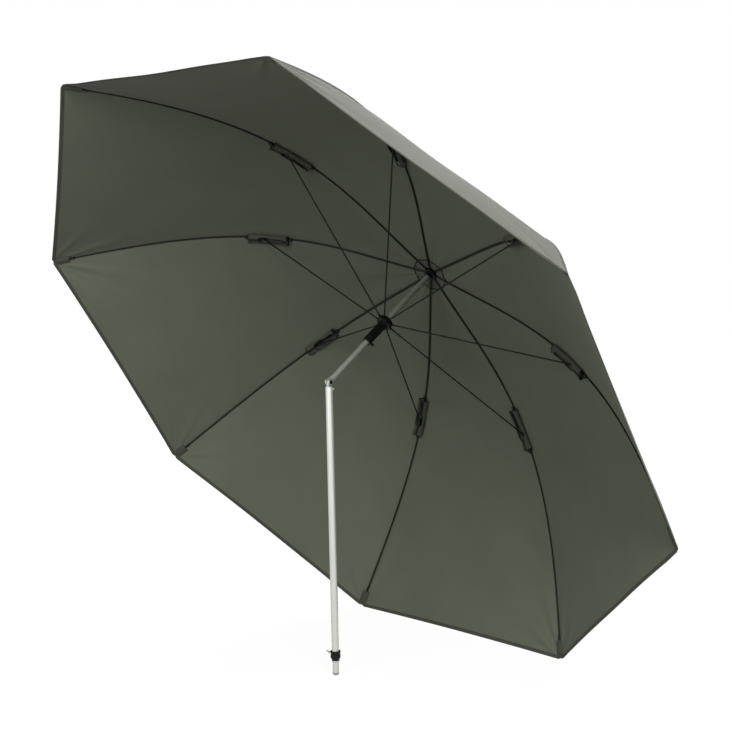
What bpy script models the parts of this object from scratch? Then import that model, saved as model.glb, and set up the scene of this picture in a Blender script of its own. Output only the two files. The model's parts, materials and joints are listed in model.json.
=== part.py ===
# Fishing umbrella: eight ribs, a tilting mast and a telescopic lower pole.
# +Z runs up the lower pole, the origin is the middle of its foot, and the open side faces -Y.
import bpy
import bmesh
from math import asin, atan2, cos, hypot, pi, radians, sin
from mathutils import Matrix, Vector

# Driving dimensions, in metres
RIM_RADIUS = 1.300          # hub axis to a corner of the canopy
DOME_HEIGHT = 0.657         # rim plane to the rib pivots
ELBOW_HEIGHT = 1.027        # foot to the tilt pin
HUB_HEIGHT = 0.626          # tilt pin to the rib pivots, along the mast
JOINT_RADIUS = 0.669        # hub axis to a rib's joint bracket
RUNNER_DROP = 0.294         # rib pivots down to the runner's pivots
PIVOT_RADIUS = 0.0175       # hub axis to the rib and stretcher pivots
TILT = radians(57)
RIB_COUNT = 8
RUNNING_GAP = 0.0003
OVERRUN = 0.002             # how far a cutter passes the face it opens
WELD_GAP = 0.00001          # points closer than this become one
AXIS_WELD_GAP = 0.00005     # the same for a turned shape's axis

# Shares of the dome's height that a rib drops by, one for each power of its run
DROP_SHARES = (0.382, -1.102, 2.926, -1.206)
# Shares of a rib's run where the rib, pad and canopy bend
STATION_SHARES = (0.0075, 0.05, 0.12, 0.20, 0.28, 0.36, 0.43, 0.485, 0.525, 0.56,
                  0.65, 0.73, 0.81, 0.88, 0.95, 1)
PAD_START_STATION = 6
PAD_END_STATION = 9
# Shares of half a panel's width, from rib to mid panel
ACROSS_SHARES = (0, 0.5, 1)

# Poles
GROUND_TUBE_RADIUS = 0.0110
GROUND_TUBE_WALL = 0.0012
POLE_RADIUS = 0.0125
POLE_WALL = 0.0010
POLE_TOP_BELOW_ELBOW = 0.016
MAST_RADIUS = 0.0095
MAST_WALL = 0.0010

# Ground plug
PLUG_HEIGHT = 0.010
PLUG_FOOT_RADIUS = 0.0068
PLUG_SHOULDER = 0.0045
PLUG_SPIGOT = 0.018
GROOVE_COUNT = 4
GROOVE_WIDTH = 0.0022
GROOVE_HEIGHT = 0.006
GROOVE_ROOT_RADIUS = 0.0045

# Guide bush on the ground tube's upper end
BUSH_FLANGE = 0.006
BUSH_SPIGOT = 0.018
BUSH_WALL = 0.0015

# Lock collar and its lever
COLLAR_BOTTOM = 0.0535
COLLAR_HEIGHT = 0.0335
COLLAR_RADIUS = 0.0180
COLLAR_WAIST_RADIUS = 0.0170
COLLAR_NOSE_RADIUS = 0.0126
COLLAR_NOSE_HEIGHT = 0.012
COLLAR_LEDGE = 0.0065       # its foot to the pole's lower edge
COLLAR_LIP = 0.004
LEVER_AZIMUTH = radians(225)
LEVER_SLOPE = radians(36)
LEVER_REACH = 0.0220        # pole axis to the lever's pin
LEVER_PIN_HEIGHT = 0.0820
LEVER_PIN_RADIUS = 0.0012
LEVER_BARREL_RADIUS = 0.0032
LEVER_LENGTH = 0.0100
LEVER_THICKNESS = 0.0022
LEVER_WIDTH = 0.0080
LUG_THICKNESS = 0.0022
LUG_RADIUS = 0.0030

# Elbow
TONGUE_THICKNESS = 0.014
TONGUE_WIDTH = 0.018
TONGUE_SPIGOT = 0.040
EAR_THICKNESS = 0.003
EAR_RADIUS = 0.0100
EAR_LENGTH = 0.0135         # tilt pin to the underside of the fork's base
FORK_BASE = 0.012
FORK_SPIGOT = 0.034
ELBOW_PIN_RADIUS = 0.004
ELBOW_PIN_HEAD_RADIUS = 0.0070
ELBOW_PIN_HEAD = 0.0022
ELBOW_PIN_FACE_SHARE = 0.8

# Tilt button
BUTTON_AZIMUTH = radians(45)
BUTTON_RADIUS = 0.0045
BUTTON_BELOW_ELBOW = 0.024
BUTTON_PROUD = 0.0050
BUTTON_ROOT = 0.0045        # how far it reaches inside the pole's wall
BUTTON_TRAVEL = 0.0030
BUTTON_FACE_SHARE = 0.7     # of its radius and its height, where the chamfer starts

# Hub, runner and the wire rings that carry the blades
HUB_RADIUS = 0.0225
HUB_HALF_HEIGHT = 0.0075
HUB_SLEEVE_RADIUS = 0.0135
HUB_SLEEVE = 0.022
HUB_CHAMFER = 0.002
RUNNER_RADIUS = 0.028
RUNNER_HALF_HEIGHT = 0.009
RUNNER_SLEEVE_RADIUS = 0.0160
RUNNER_SLEEVE = 0.112
RUNNER_NECK = 0.012
RING_WIRE_RADIUS = 0.0012
SLOT_ROOT_RADIUS = 0.0114
BLADE_THICKNESS = 0.0030
BLADE_SIDE_GAP = 0.0004
OPEN_PIVOT_GAP = 0.0015     # the stretchers' inner eyes are loose on their ring

# Runner screw
SCREW_AZIMUTH = radians(55)
SCREW_ABOVE_END = 0.009
SCREW_RADIUS = 0.0025
SCREW_HEAD_RADIUS = 0.0060
SCREW_HEAD = 0.0090
SCREW_BOSS_RADIUS = 0.0050
SCREW_BOSS = 0.0020
SCREW_FACE_SHARE = 0.7
SCREW_FOOT_SHARES = (0.8, 0.2)      # of the head's radius and height, under the grip

# Crown cap
CAP_LIP_RADIUS = 0.034
CAP_HEIGHT = 0.014
CAP_CROWN_RADIUS = 0.012
CAP_STEM = 0.030
CAP_SHOULDER_SHARES = (0.667, 0.75)     # from crown to lip, and of the height
CAP_RIM_SHARE = 0.25

# Ribs, stretchers and brackets
RIB_RADIUS = 0.0032
RIB_END_RADIUS = 0.0023
RIB_EYE_RADIUS = 0.0042
HEAD_CLEARANCE = 0.0020     # hub, runner or cheeks to the rod's end
BLADE_GRIP = 0.0080         # how far a blade reaches into its rod
BRACKET_RADIUS = 0.0037
BRACKET_LENGTH = 0.026
CHEEK_THICKNESS = 0.0016
CHEEK_RADIUS = 0.0038
CHEEK_START_SHARE = 0.35    # from the rib's middle to the pin
JOINT_PIN_RADIUS = 0.0015
STRETCHER_RADIUS = 0.0022
STRETCHER_EYE_RADIUS = 0.0033
LOOSE_EYE_RADIUS = 0.0044

# Tip caps
TIP_RADIUS = 0.0048
TIP_NOSE_RADIUS = 0.0034
TIP_START_SHARE = 0.953
TIP_END_SHARE = 0.997
ROD_END_SHARE = 0.980
TIP_RING_SHARE = 0.3        # of the cap's length, taken by its wide mouth
TIP_FACE_SHARES = (0.7, 0.6)    # of the nose's radius, across and along its chamfer

# Guard pads and canopy
PAD_THICKNESS = 0.0012
PAD_HALF_WIDTH = 0.0062
PAD_DEPTH = 0.024           # rib's middle to the pad's open edge
PAD_ROOF_SHARE = 0.36       # fall of the pad's top, over half its width, under the canopy's crease
CANOPY_THICKNESS = 0.0010
CANOPY_EDGE_GAP = 0.0004    # between neighbouring sections
SAG_SHARE = 0.005            # of the radius, at mid panel
SCALLOP_SHARE = 0.002        # of the rim radius, at mid panel

# Worked out from the above
RIB_RUN = RIM_RADIUS - PIVOT_RADIUS
JOINT_SHARE = (JOINT_RADIUS - PIVOT_RADIUS) / RIB_RUN
JOINT_OFFSET = BRACKET_RADIUS + RUNNING_GAP + STRETCHER_EYE_RADIUS
HALF_PANEL = pi / RIB_COUNT
POLE_TOP = ELBOW_HEIGHT - POLE_TOP_BELOW_ELBOW
GROUND_TUBE_TOP = POLE_TOP - TONGUE_SPIGOT - BUSH_FLANGE - 2 * RUNNING_GAP
MAST_BOTTOM = EAR_LENGTH + FORK_BASE + RUNNING_GAP
MAST_TOP = HUB_HEIGHT + HUB_HALF_HEIGHT - RUNNING_GAP
PAD_OFFSET = BRACKET_RADIUS + 2 * RUNNING_GAP
CANOPY_OFFSET = PAD_OFFSET + PAD_THICKNESS + RUNNING_GAP

# Segment counts
ROUND_STEPS = 24
SMALL_STEPS = 12
TUBE_RESOLUTION = 2
ARC_STEPS = 6


def make_collection(name):
    collection = bpy.data.collections.new(name)
    bpy.context.scene.collection.children.link(collection)
    return collection


for old in list(bpy.data.objects):
    bpy.data.objects.remove(old, do_unlink=True)
PARTS = make_collection("fishing_umbrella")
TOOLS = make_collection("cutters_and_joined_shapes")


def make_material(name, colour, roughness, metallic):
    material = bpy.data.materials.new(name)
    material.use_nodes = True
    shader = material.node_tree.nodes["Principled BSDF"]
    shader.inputs["Base Color"].default_value = (*colour, 1)
    shader.inputs["Roughness"].default_value = roughness
    shader.inputs["Metallic"].default_value = metallic
    material.diffuse_color = (*colour, 1)
    return material


ALUMINIUM_TUBE = make_material("aluminium_tube", (0.62, 0.62, 0.59), 0.3, 1)
GREY_FITTING = make_material("grey_fitting", (0.40, 0.41, 0.39), 0.4, 1)
STEEL_WIRE = make_material("steel_wire", (0.50, 0.50, 0.48), 0.4, 1)
BLACK_PLASTIC = make_material("black_plastic", (0.010, 0.011, 0.009), 0.5, 0)
BLACK_ROD = make_material("black_rod", (0.010, 0.011, 0.009), 0.4, 0)
PAD_FABRIC = make_material("pad_fabric", (0.078, 0.082, 0.062), 0.9, 0)
CANOPY_FABRIC = make_material("canopy_fabric", (0.160, 0.168, 0.136), 0.85, 0)


def add_empty(name, parent, location, turn=(0, 0, 0)):
    empty = bpy.data.objects.new(name, None)
    PARTS.objects.link(empty)
    empty.parent = parent
    empty.location = location
    empty.rotation_euler = turn
    return empty


def add_object(name, data):
    thing = bpy.data.objects.new(name, data)
    PARTS.objects.link(thing)
    return thing


def finish(thing, name, material, parent=None, location=(0, 0, 0), turn=(0, 0, 0)):
    """Name a sub-part, give it its material and hang it on its frame, with the shapes that cut or join it."""
    thing.name = name
    if not thing.data.materials:
        thing.data.materials.append(material)
    for item in [thing] + tools_of(thing):
        item.parent = parent
        item.location = location
        item.rotation_euler = turn
    return thing


def tools_of(thing):
    return [m.object for m in thing.modifiers if m.type == "BOOLEAN"]


def mesh_alone(thing):
    """A shape's mesh, with its object taken away."""
    mesh = thing.data
    bpy.data.objects.remove(thing, do_unlink=True)
    return mesh


def moved(thing, matrix):
    """Move a shape's points, so that its object stays at its origin."""
    thing.data.transform(matrix)
    return thing


# Shapes
def turned(profile, steps=ROUND_STEPS):
    """A body of revolution about Z. The profile runs down its outer side and, for a tube, back up its bore."""
    mesh = bpy.data.meshes.new("turned")
    points = [(radius, 0, height) for radius, height in profile]
    edges = [(i, i + 1) for i in range(len(points) - 1)]
    if profile[0][0] > 0:
        edges.append((len(points) - 1, 0))
    mesh.from_pydata(points, edges, [])
    thing = add_object("turned", mesh)
    screw = thing.modifiers.new("Screw", "SCREW")
    screw.axis = "Z"
    screw.angle = 2 * pi
    screw.steps = steps
    screw.render_steps = steps
    screw.use_merge_vertices = True
    screw.merge_threshold = AXIS_WELD_GAP
    return baked(thing)


def tube(outer, wall, bottom, top):
    inner = outer - wall
    return turned([(outer, top), (outer, bottom), (inner, bottom), (inner, top)])


def rod(radius, start, end, steps=SMALL_STEPS):
    """A plain cylinder between two points."""
    run = Vector(end) - Vector(start)
    thing = turned([(0, run.length), (radius, run.length), (radius, 0), (0, 0)], steps)
    aim = Vector((0, 0, 1)).rotation_difference(run).to_matrix().to_4x4()
    return moved(thing, Matrix.Translation(start) @ aim)


def block(size, centre, matrix):
    mesh = bpy.data.meshes.new("block")
    shape = bmesh.new()
    bmesh.ops.create_cube(shape, size=1)
    bmesh.ops.scale(shape, vec=size, verts=shape.verts)
    bmesh.ops.translate(shape, vec=centre, verts=shape.verts)
    bmesh.ops.transform(shape, matrix=matrix, verts=shape.verts)
    shape.to_mesh(mesh)
    shape.free()
    return add_object("block", mesh)


def ring(radius, wire):
    """A wire ring about Z."""
    profile = [(radius + wire * cos(a), -wire * sin(a)) for a in
               (-pi / 2 + 2 * pi * i / ARC_STEPS for i in range(ARC_STEPS))]
    return turned(profile)


def arc(centre, radius, start, end, steps=ARC_STEPS):
    angles = (start + (end - start) * i / steps for i in range(steps + 1))
    return [(centre[0] + radius * cos(a), centre[1] + radius * sin(a)) for a in angles]


def plate(outline, thickness, holes=()):
    """A flat outline in X and Z, as thick along Y as given, with round holes of (centre, radius)."""
    curve = bpy.data.curves.new("plate", "CURVE")
    curve.dimensions = "2D"
    curve.fill_mode = "BOTH"
    curve.extrude = thickness / 2
    rounds = [arc(c, r, 0, 2 * pi * (1 - 1 / SMALL_STEPS), SMALL_STEPS - 1) for c, r in holes]
    for points in [outline] + rounds:
        spline = curve.splines.new("POLY")
        spline.points.add(len(points) - 1)
        for point, place in zip(spline.points, points):
            point.co = (*place, 0, 1)
        spline.use_cyclic_u = True
    return moved(baked(add_object("plate", curve)), Matrix.Rotation(pi / 2, 4, "X"))


def link_outline(start, end, radius):
    """The outline of a bar with round ends, from one point to another."""
    lean = atan2(end[1] - start[1], end[0] - start[0])
    near = arc(start, radius, lean + pi / 2, lean + 3 * pi / 2)
    far = arc(end, radius, lean - pi / 2, lean + pi / 2)
    return near + far


def bent_rod(points, radii):
    """A round rod through points in X and Z, with its own radius at each."""
    curve = bpy.data.curves.new("rod", "CURVE")
    curve.dimensions = "3D"
    curve.bevel_depth = radii[0]
    curve.bevel_resolution = TUBE_RESOLUTION
    curve.use_fill_caps = True
    spline = curve.splines.new("POLY")
    spline.points.add(len(points) - 1)
    for point, (x, z), radius in zip(spline.points, points, radii):
        point.co = (x, 0, z, 1)
        point.radius = radius / radii[0]
    return baked(add_object("rod", curve))


def shell(rows, thickness):
    """A sheet through rows of points, with a wall added on the side that its faces look to."""
    mesh = bpy.data.meshes.new("shell")
    wide = len(rows[0])
    faces = [(r * wide + c, r * wide + c + 1, (r + 1) * wide + c + 1, (r + 1) * wide + c)
             for r in range(len(rows) - 1) for c in range(wide - 1)]
    mesh.from_pydata([p for row in rows for p in row], [], faces)
    thing = add_object("shell", mesh)
    solidify = thing.modifiers.new("Solidify", "SOLIDIFY")
    solidify.thickness = thickness
    solidify.offset = 1
    solidify.use_even_offset = True
    return baked(thing)


# Joining, cutting and baking
def boolean(thing, operation, tools):
    for tool in tools:
        modifier = thing.modifiers.new(operation.title(), "BOOLEAN")
        modifier.operation = operation
        modifier.object = tool
        tool.hide_render = True
        tool.display_type = "WIRE"
        PARTS.objects.unlink(tool)
        TOOLS.objects.link(tool)
    return thing


def joined(thing, *others):
    return boolean(thing, "UNION", others)


def cut(thing, *cutters):
    return boolean(thing, "DIFFERENCE", cutters)


def baked(thing):
    """Turn a curve or a shape with modifiers into a plain welded mesh."""
    bpy.context.view_layer.update()
    depsgraph = bpy.context.evaluated_depsgraph_get()
    mesh = bpy.data.meshes.new_from_object(thing.evaluated_get(depsgraph))
    shape = bmesh.new()
    shape.from_mesh(mesh)
    bmesh.ops.remove_doubles(shape, verts=shape.verts, dist=WELD_GAP)
    shape.to_mesh(mesh)
    shape.free()
    mesh.materials.clear()
    for item in [thing] + tools_of(thing):
        bpy.data.objects.remove(item, do_unlink=True)
    return add_object("baked", mesh)


# The rib's line, in a frame at its pivot with X outwards and Z up the mast
def rib_point(share):
    drop = sum(part * share ** (i + 1) for i, part in enumerate(DROP_SHARES))
    return Vector((RIB_RUN * share, -DOME_HEIGHT * drop))


STATIONS = [rib_point(share) for share in STATION_SHARES]


def on_rib(share):
    """The place on the rib's bent line at a share of its run."""
    for i in range(len(STATIONS) - 1):
        low, high = STATION_SHARES[i], STATION_SHARES[i + 1]
        if share <= high:
            return STATIONS[i].lerp(STATIONS[i + 1], (share - low) / (high - low))
    return STATIONS[-1]


BRACKET_PLACE = on_rib(JOINT_SHARE)
BRACKET_WAY = (on_rib(JOINT_SHARE + BRACKET_LENGTH / 2 / RIB_RUN) - BRACKET_PLACE).normalized()
JOINT = BRACKET_PLACE + Vector((BRACKET_WAY.y, -BRACKET_WAY.x)) * JOINT_OFFSET
STRETCHER_RISE = RUNNER_DROP + JOINT.y
STRETCHER_LENGTH = hypot(JOINT.x, STRETCHER_RISE)


def raised(index, height):
    """A station moved square to the rib's line, so that each stretch keeps its distance to the rib."""
    before = STATIONS[index] - STATIONS[max(index - 1, 0)]
    after = STATIONS[min(index + 1, len(STATIONS) - 1)] - STATIONS[index]
    normals = [Vector((-run.y, run.x)).normalized() for run in (before, after) if run.length > 0]
    middle = sum(normals, Vector((0, 0))).normalized()
    return STATIONS[index] + middle * height / middle.dot(normals[0])


# Ground tube, plug and bush
def make_ground_parts():
    inner = GROUND_TUBE_RADIUS - GROUND_TUBE_WALL
    ground_tube = tube(GROUND_TUBE_RADIUS, GROUND_TUBE_WALL, PLUG_HEIGHT + RUNNING_GAP, GROUND_TUBE_TOP)
    finish(ground_tube, "ground_tube", ALUMINIUM_TUBE)

    spigot = inner - RUNNING_GAP
    plug = turned([
        (0, PLUG_HEIGHT + PLUG_SPIGOT), (spigot, PLUG_HEIGHT + PLUG_SPIGOT), (spigot, PLUG_HEIGHT),
        (GROUND_TUBE_RADIUS, PLUG_HEIGHT), (GROUND_TUBE_RADIUS, PLUG_SHOULDER),
        (PLUG_FOOT_RADIUS, 0), (0, 0)])
    grooves = []
    reach = GROUND_TUBE_RADIUS - GROOVE_ROOT_RADIUS + OVERRUN
    for i in range(GROOVE_COUNT):
        turn = Matrix.Rotation(LEVER_AZIMUTH + 2 * pi * i / GROOVE_COUNT, 4, "Z")
        size = (reach, GROOVE_WIDTH, GROOVE_HEIGHT)
        grooves.append(block(size, (GROOVE_ROOT_RADIUS + reach / 2, 0, 0), turn))
    finish(cut(plug, *grooves), "ground_plug", GREY_FITTING)

    bush_radius = POLE_RADIUS - POLE_WALL - RUNNING_GAP
    top = GROUND_TUBE_TOP + RUNNING_GAP + BUSH_FLANGE
    bush = turned([
        (bush_radius, top), (bush_radius, top - BUSH_FLANGE), (spigot, top - BUSH_FLANGE),
        (spigot, top - BUSH_FLANGE - BUSH_SPIGOT), (spigot - BUSH_WALL, top - BUSH_FLANGE - BUSH_SPIGOT),
        (spigot - BUSH_WALL, top)])
    finish(bush, "guide_bush", BLACK_PLASTIC)


# Lower pole with its collar, lever and button
def make_lower_pole():
    collar_ledge = COLLAR_BOTTOM + COLLAR_LEDGE
    pole = tube(POLE_RADIUS, POLE_WALL, collar_ledge + RUNNING_GAP, POLE_TOP)
    button_height = ELBOW_HEIGHT - BUTTON_BELOW_ELBOW
    aim = Matrix.Rotation(BUTTON_AZIMUTH, 4, "Z")
    well = rod(BUTTON_RADIUS + RUNNING_GAP, (0, 0, button_height),
               (POLE_RADIUS + OVERRUN, 0, button_height), ROUND_STEPS)
    finish(cut(pole, moved(well, aim)), "lower_pole", ALUMINIUM_TUBE)

    inside = POLE_RADIUS - POLE_WALL
    root = inside - BUTTON_ROOT
    button = turned([
        (0, POLE_RADIUS + BUTTON_PROUD), (BUTTON_RADIUS * BUTTON_FACE_SHARE, POLE_RADIUS + BUTTON_PROUD),
        (BUTTON_RADIUS, POLE_RADIUS + BUTTON_PROUD * BUTTON_FACE_SHARE), (BUTTON_RADIUS, root), (0, root)])
    moved(button, aim @ Matrix.Rotation(pi / 2, 4, "Y"))
    finish(button, "tilt_button", GREY_FITTING, location=(0, 0, button_height))

    top = COLLAR_BOTTOM + COLLAR_HEIGHT
    collar = turned([
        (COLLAR_RADIUS, top), (COLLAR_WAIST_RADIUS, top - COLLAR_LIP),
        (COLLAR_WAIST_RADIUS, COLLAR_BOTTOM + COLLAR_NOSE_HEIGHT + COLLAR_LIP),
        (COLLAR_RADIUS, COLLAR_BOTTOM + COLLAR_NOSE_HEIGHT), (COLLAR_NOSE_RADIUS, COLLAR_BOTTOM),
        (GROUND_TUBE_RADIUS + RUNNING_GAP, COLLAR_BOTTOM), (GROUND_TUBE_RADIUS + RUNNING_GAP, collar_ledge),
        (POLE_RADIUS + RUNNING_GAP, collar_ledge), (POLE_RADIUS + RUNNING_GAP, top)])
    collar_middle = (POLE_RADIUS + COLLAR_WAIST_RADIUS) / 2
    lug_place = LEVER_WIDTH / 2 + RUNNING_GAP + LUG_THICKNESS / 2
    aim = Matrix.Rotation(LEVER_AZIMUTH, 4, "Z")
    lugs = []
    for side in (-1, 1):
        lug = plate(link_outline((collar_middle + LUG_RADIUS, LEVER_PIN_HEIGHT),
                                 (LEVER_REACH, LEVER_PIN_HEIGHT), LUG_RADIUS), LUG_THICKNESS)
        lugs.append(moved(lug, aim @ Matrix.Translation((0, side * lug_place, 0))))
    pin = rod(LEVER_PIN_RADIUS, (LEVER_REACH, -lug_place, LEVER_PIN_HEIGHT),
              (LEVER_REACH, lug_place, LEVER_PIN_HEIGHT))
    finish(joined(collar, *lugs, moved(pin, aim)), "lock_collar", BLACK_PLASTIC)

    half = LEVER_THICKNESS / 2
    side = asin(half / LEVER_BARREL_RADIUS)
    outline = arc((0, 0), LEVER_BARREL_RADIUS, side, 2 * pi - side) + arc((LEVER_LENGTH, 0), half, -pi / 2, pi / 2)
    lever = plate(outline, LEVER_WIDTH, [((0, 0), LEVER_PIN_RADIUS + RUNNING_GAP)])
    moved(lever, aim @ Matrix.Rotation(-LEVER_SLOPE, 4, "Y"))
    place = (LEVER_REACH * cos(LEVER_AZIMUTH), LEVER_REACH * sin(LEVER_AZIMUTH), LEVER_PIN_HEIGHT)
    finish(lever, "collar_lever", GREY_FITTING, location=place)


# Elbow: a tongue in the lower pole, a fork on the mast and the pin through both
def make_elbow(elbow):
    plug_radius = POLE_RADIUS - POLE_WALL - RUNNING_GAP
    down = -POLE_TOP_BELOW_ELBOW
    hole = [((0, 0), ELBOW_PIN_RADIUS + RUNNING_GAP)]
    tongue = plate(link_outline((0, down), (0, 0), TONGUE_WIDTH / 2), TONGUE_THICKNESS, hole)
    moved(tongue, Matrix.Rotation(pi / 2, 4, "Z"))
    plug = rod(plug_radius, (0, 0, down - TONGUE_SPIGOT), (0, 0, down), ROUND_STEPS)
    aim = Matrix.Rotation(BUTTON_AZIMUTH, 4, "Z")
    deep = POLE_RADIUS - POLE_WALL - BUTTON_ROOT - BUTTON_TRAVEL - RUNNING_GAP
    well = rod(BUTTON_RADIUS + RUNNING_GAP, (deep, 0, -BUTTON_BELOW_ELBOW),
               (POLE_RADIUS, 0, -BUTTON_BELOW_ELBOW), ROUND_STEPS)
    solid = baked(cut(joined(plug, tongue), moved(well, aim)))
    finish(solid, "elbow_tongue", GREY_FITTING, location=(0, 0, ELBOW_HEIGHT))

    ear_place = TONGUE_THICKNESS / 2 + RUNNING_GAP + EAR_THICKNESS / 2
    base_radius = ear_place + EAR_THICKNESS / 2
    fork = turned([
        (0, MAST_BOTTOM + FORK_SPIGOT), (MAST_RADIUS - MAST_WALL - RUNNING_GAP, MAST_BOTTOM + FORK_SPIGOT),
        (MAST_RADIUS - MAST_WALL - RUNNING_GAP, MAST_BOTTOM - RUNNING_GAP),
        (base_radius, MAST_BOTTOM - RUNNING_GAP), (base_radius, EAR_LENGTH), (0, EAR_LENGTH)])
    ears = []
    for side in (-1, 1):
        ear = plate(link_outline((0, 0), (0, EAR_LENGTH), EAR_RADIUS), EAR_THICKNESS, hole)
        ears.append(moved(ear, Matrix.Translation((side * ear_place, 0, 0)) @ Matrix.Rotation(pi / 2, 4, "Z")))
    ear_trim = tube(base_radius + EAR_RADIUS, EAR_RADIUS, EAR_LENGTH - OVERRUN, EAR_LENGTH + EAR_RADIUS + OVERRUN)
    finish(cut(joined(fork, *ears), ear_trim), "elbow_fork", GREY_FITTING, elbow)

    half = ear_place + EAR_THICKNESS / 2 + RUNNING_GAP
    face = ELBOW_PIN_HEAD_RADIUS * ELBOW_PIN_FACE_SHARE
    pin = turned([
        (0, half + ELBOW_PIN_HEAD), (face, half + ELBOW_PIN_HEAD),
        (ELBOW_PIN_HEAD_RADIUS, half + ELBOW_PIN_HEAD / 2), (ELBOW_PIN_HEAD_RADIUS, half),
        (ELBOW_PIN_RADIUS, half), (ELBOW_PIN_RADIUS, -half), (ELBOW_PIN_HEAD_RADIUS, -half),
        (ELBOW_PIN_HEAD_RADIUS, -half - ELBOW_PIN_HEAD / 2),
        (face, -half - ELBOW_PIN_HEAD), (0, -half - ELBOW_PIN_HEAD)])
    moved(pin, Matrix.Rotation(pi / 2, 4, "Y"))
    finish(pin, "elbow_pin", GREY_FITTING, location=(0, 0, ELBOW_HEIGHT))


# Hub and runner: a slotted head on a sleeve, with a ring wire through its pivots
def slot_cutters(head_radius, half_height):
    long = head_radius + OVERRUN - SLOT_ROOT_RADIUS
    size = (long, BLADE_THICKNESS + 2 * BLADE_SIDE_GAP, 2 * half_height + 2 * OVERRUN)
    turns = [Matrix.Rotation(HALF_PANEL + 2 * HALF_PANEL * i, 4, "Z") for i in range(RIB_COUNT)]
    slots = [block(size, (SLOT_ROOT_RADIUS + long / 2, 0, 0), turn) for turn in turns]
    return slots + [ring(PIVOT_RADIUS, RING_WIRE_RADIUS + RUNNING_GAP)]


def make_mast_parts(elbow, hub):
    finish(tube(MAST_RADIUS, MAST_WALL, MAST_BOTTOM, MAST_TOP), "mast_tube", ALUMINIUM_TUBE, elbow)
    bore = MAST_RADIUS + RUNNING_GAP
    notch = turned([
        (HUB_RADIUS - HUB_CHAMFER, HUB_HALF_HEIGHT), (HUB_RADIUS, HUB_HALF_HEIGHT - HUB_CHAMFER),
        (HUB_RADIUS, -HUB_HALF_HEIGHT + HUB_CHAMFER), (HUB_RADIUS - HUB_CHAMFER, -HUB_HALF_HEIGHT),
        (HUB_SLEEVE_RADIUS + HUB_CHAMFER, -HUB_HALF_HEIGHT), (HUB_SLEEVE_RADIUS, -HUB_HALF_HEIGHT - HUB_CHAMFER),
        (HUB_SLEEVE_RADIUS, -HUB_SLEEVE), (bore, -HUB_SLEEVE), (bore, HUB_HALF_HEIGHT)])
    finish(cut(notch, *slot_cutters(HUB_RADIUS, HUB_HALF_HEIGHT)), "top_notch", BLACK_PLASTIC, hub)
    finish(ring(PIVOT_RADIUS, RING_WIRE_RADIUS), "notch_wire", STEEL_WIRE, hub)

    lip = raised(0, CANOPY_OFFSET + CANOPY_THICKNESS).y + RUNNING_GAP
    shelf = HUB_HALF_HEIGHT + RUNNING_GAP
    stem = MAST_RADIUS - MAST_WALL - RUNNING_GAP
    shoulder = CAP_CROWN_RADIUS + (CAP_LIP_RADIUS - CAP_CROWN_RADIUS) * CAP_SHOULDER_SHARES[0]
    cap = turned([
        (0, lip + CAP_HEIGHT), (CAP_CROWN_RADIUS, lip + CAP_HEIGHT),
        (shoulder, lip + CAP_HEIGHT * CAP_SHOULDER_SHARES[1]),
        (CAP_LIP_RADIUS, lip + CAP_HEIGHT * CAP_RIM_SHARE), (CAP_LIP_RADIUS, lip),
        (HUB_RADIUS + 2 * RUNNING_GAP, lip), (HUB_RADIUS + 2 * RUNNING_GAP, shelf),
        (stem, shelf), (stem, -CAP_STEM), (0, -CAP_STEM)])
    finish(cap, "crown_cap", BLACK_PLASTIC, hub)


def make_runner(runner):
    bore = MAST_RADIUS + RUNNING_GAP
    edge = HUB_CHAMFER
    body = turned([
        (RUNNER_RADIUS - edge, RUNNER_HALF_HEIGHT), (RUNNER_RADIUS, RUNNER_HALF_HEIGHT - edge),
        (RUNNER_RADIUS, -RUNNER_HALF_HEIGHT + edge), (RUNNER_RADIUS - edge, -RUNNER_HALF_HEIGHT),
        (RUNNER_SLEEVE_RADIUS + edge, -RUNNER_HALF_HEIGHT - edge),
        (RUNNER_SLEEVE_RADIUS, -RUNNER_HALF_HEIGHT - RUNNER_NECK), (RUNNER_SLEEVE_RADIUS, -RUNNER_SLEEVE),
        (bore, -RUNNER_SLEEVE), (bore, RUNNER_HALF_HEIGHT)])
    aim = Matrix.Rotation(SCREW_AZIMUTH, 4, "Z")
    screw_height = SCREW_ABOVE_END - RUNNER_SLEEVE
    boss = rod(SCREW_BOSS_RADIUS, ((bore + RUNNER_SLEEVE_RADIUS) / 2, 0, screw_height),
               (RUNNER_SLEEVE_RADIUS + SCREW_BOSS, 0, screw_height))
    tapping = rod(SCREW_RADIUS + RUNNING_GAP, (0, 0, screw_height),
                  (RUNNER_SLEEVE_RADIUS + SCREW_BOSS + OVERRUN, 0, screw_height))
    solid = cut(joined(body, moved(boss, aim)), moved(tapping, aim),
                *slot_cutters(RUNNER_RADIUS, RUNNER_HALF_HEIGHT))
    finish(solid, "runner", BLACK_PLASTIC, runner)
    finish(ring(PIVOT_RADIUS, RING_WIRE_RADIUS), "runner_wire", STEEL_WIRE, runner)

    seat = RUNNER_SLEEVE_RADIUS + SCREW_BOSS + RUNNING_GAP
    face, grip = SCREW_HEAD_RADIUS * SCREW_FACE_SHARE, SCREW_HEAD * SCREW_FACE_SHARE
    foot, rise = SCREW_HEAD_RADIUS * SCREW_FOOT_SHARES[0], SCREW_HEAD * SCREW_FOOT_SHARES[1]
    screw = turned([
        (0, seat + SCREW_HEAD), (face, seat + SCREW_HEAD), (SCREW_HEAD_RADIUS, seat + grip),
        (SCREW_HEAD_RADIUS, seat + rise), (foot, seat), (SCREW_RADIUS, seat), (SCREW_RADIUS, bore),
        (0, bore)], SMALL_STEPS)
    moved(screw, aim @ Matrix.Rotation(pi / 2, 4, "Y"))
    finish(screw, "runner_screw", BLACK_PLASTIC, runner, (0, 0, screw_height))


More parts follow.
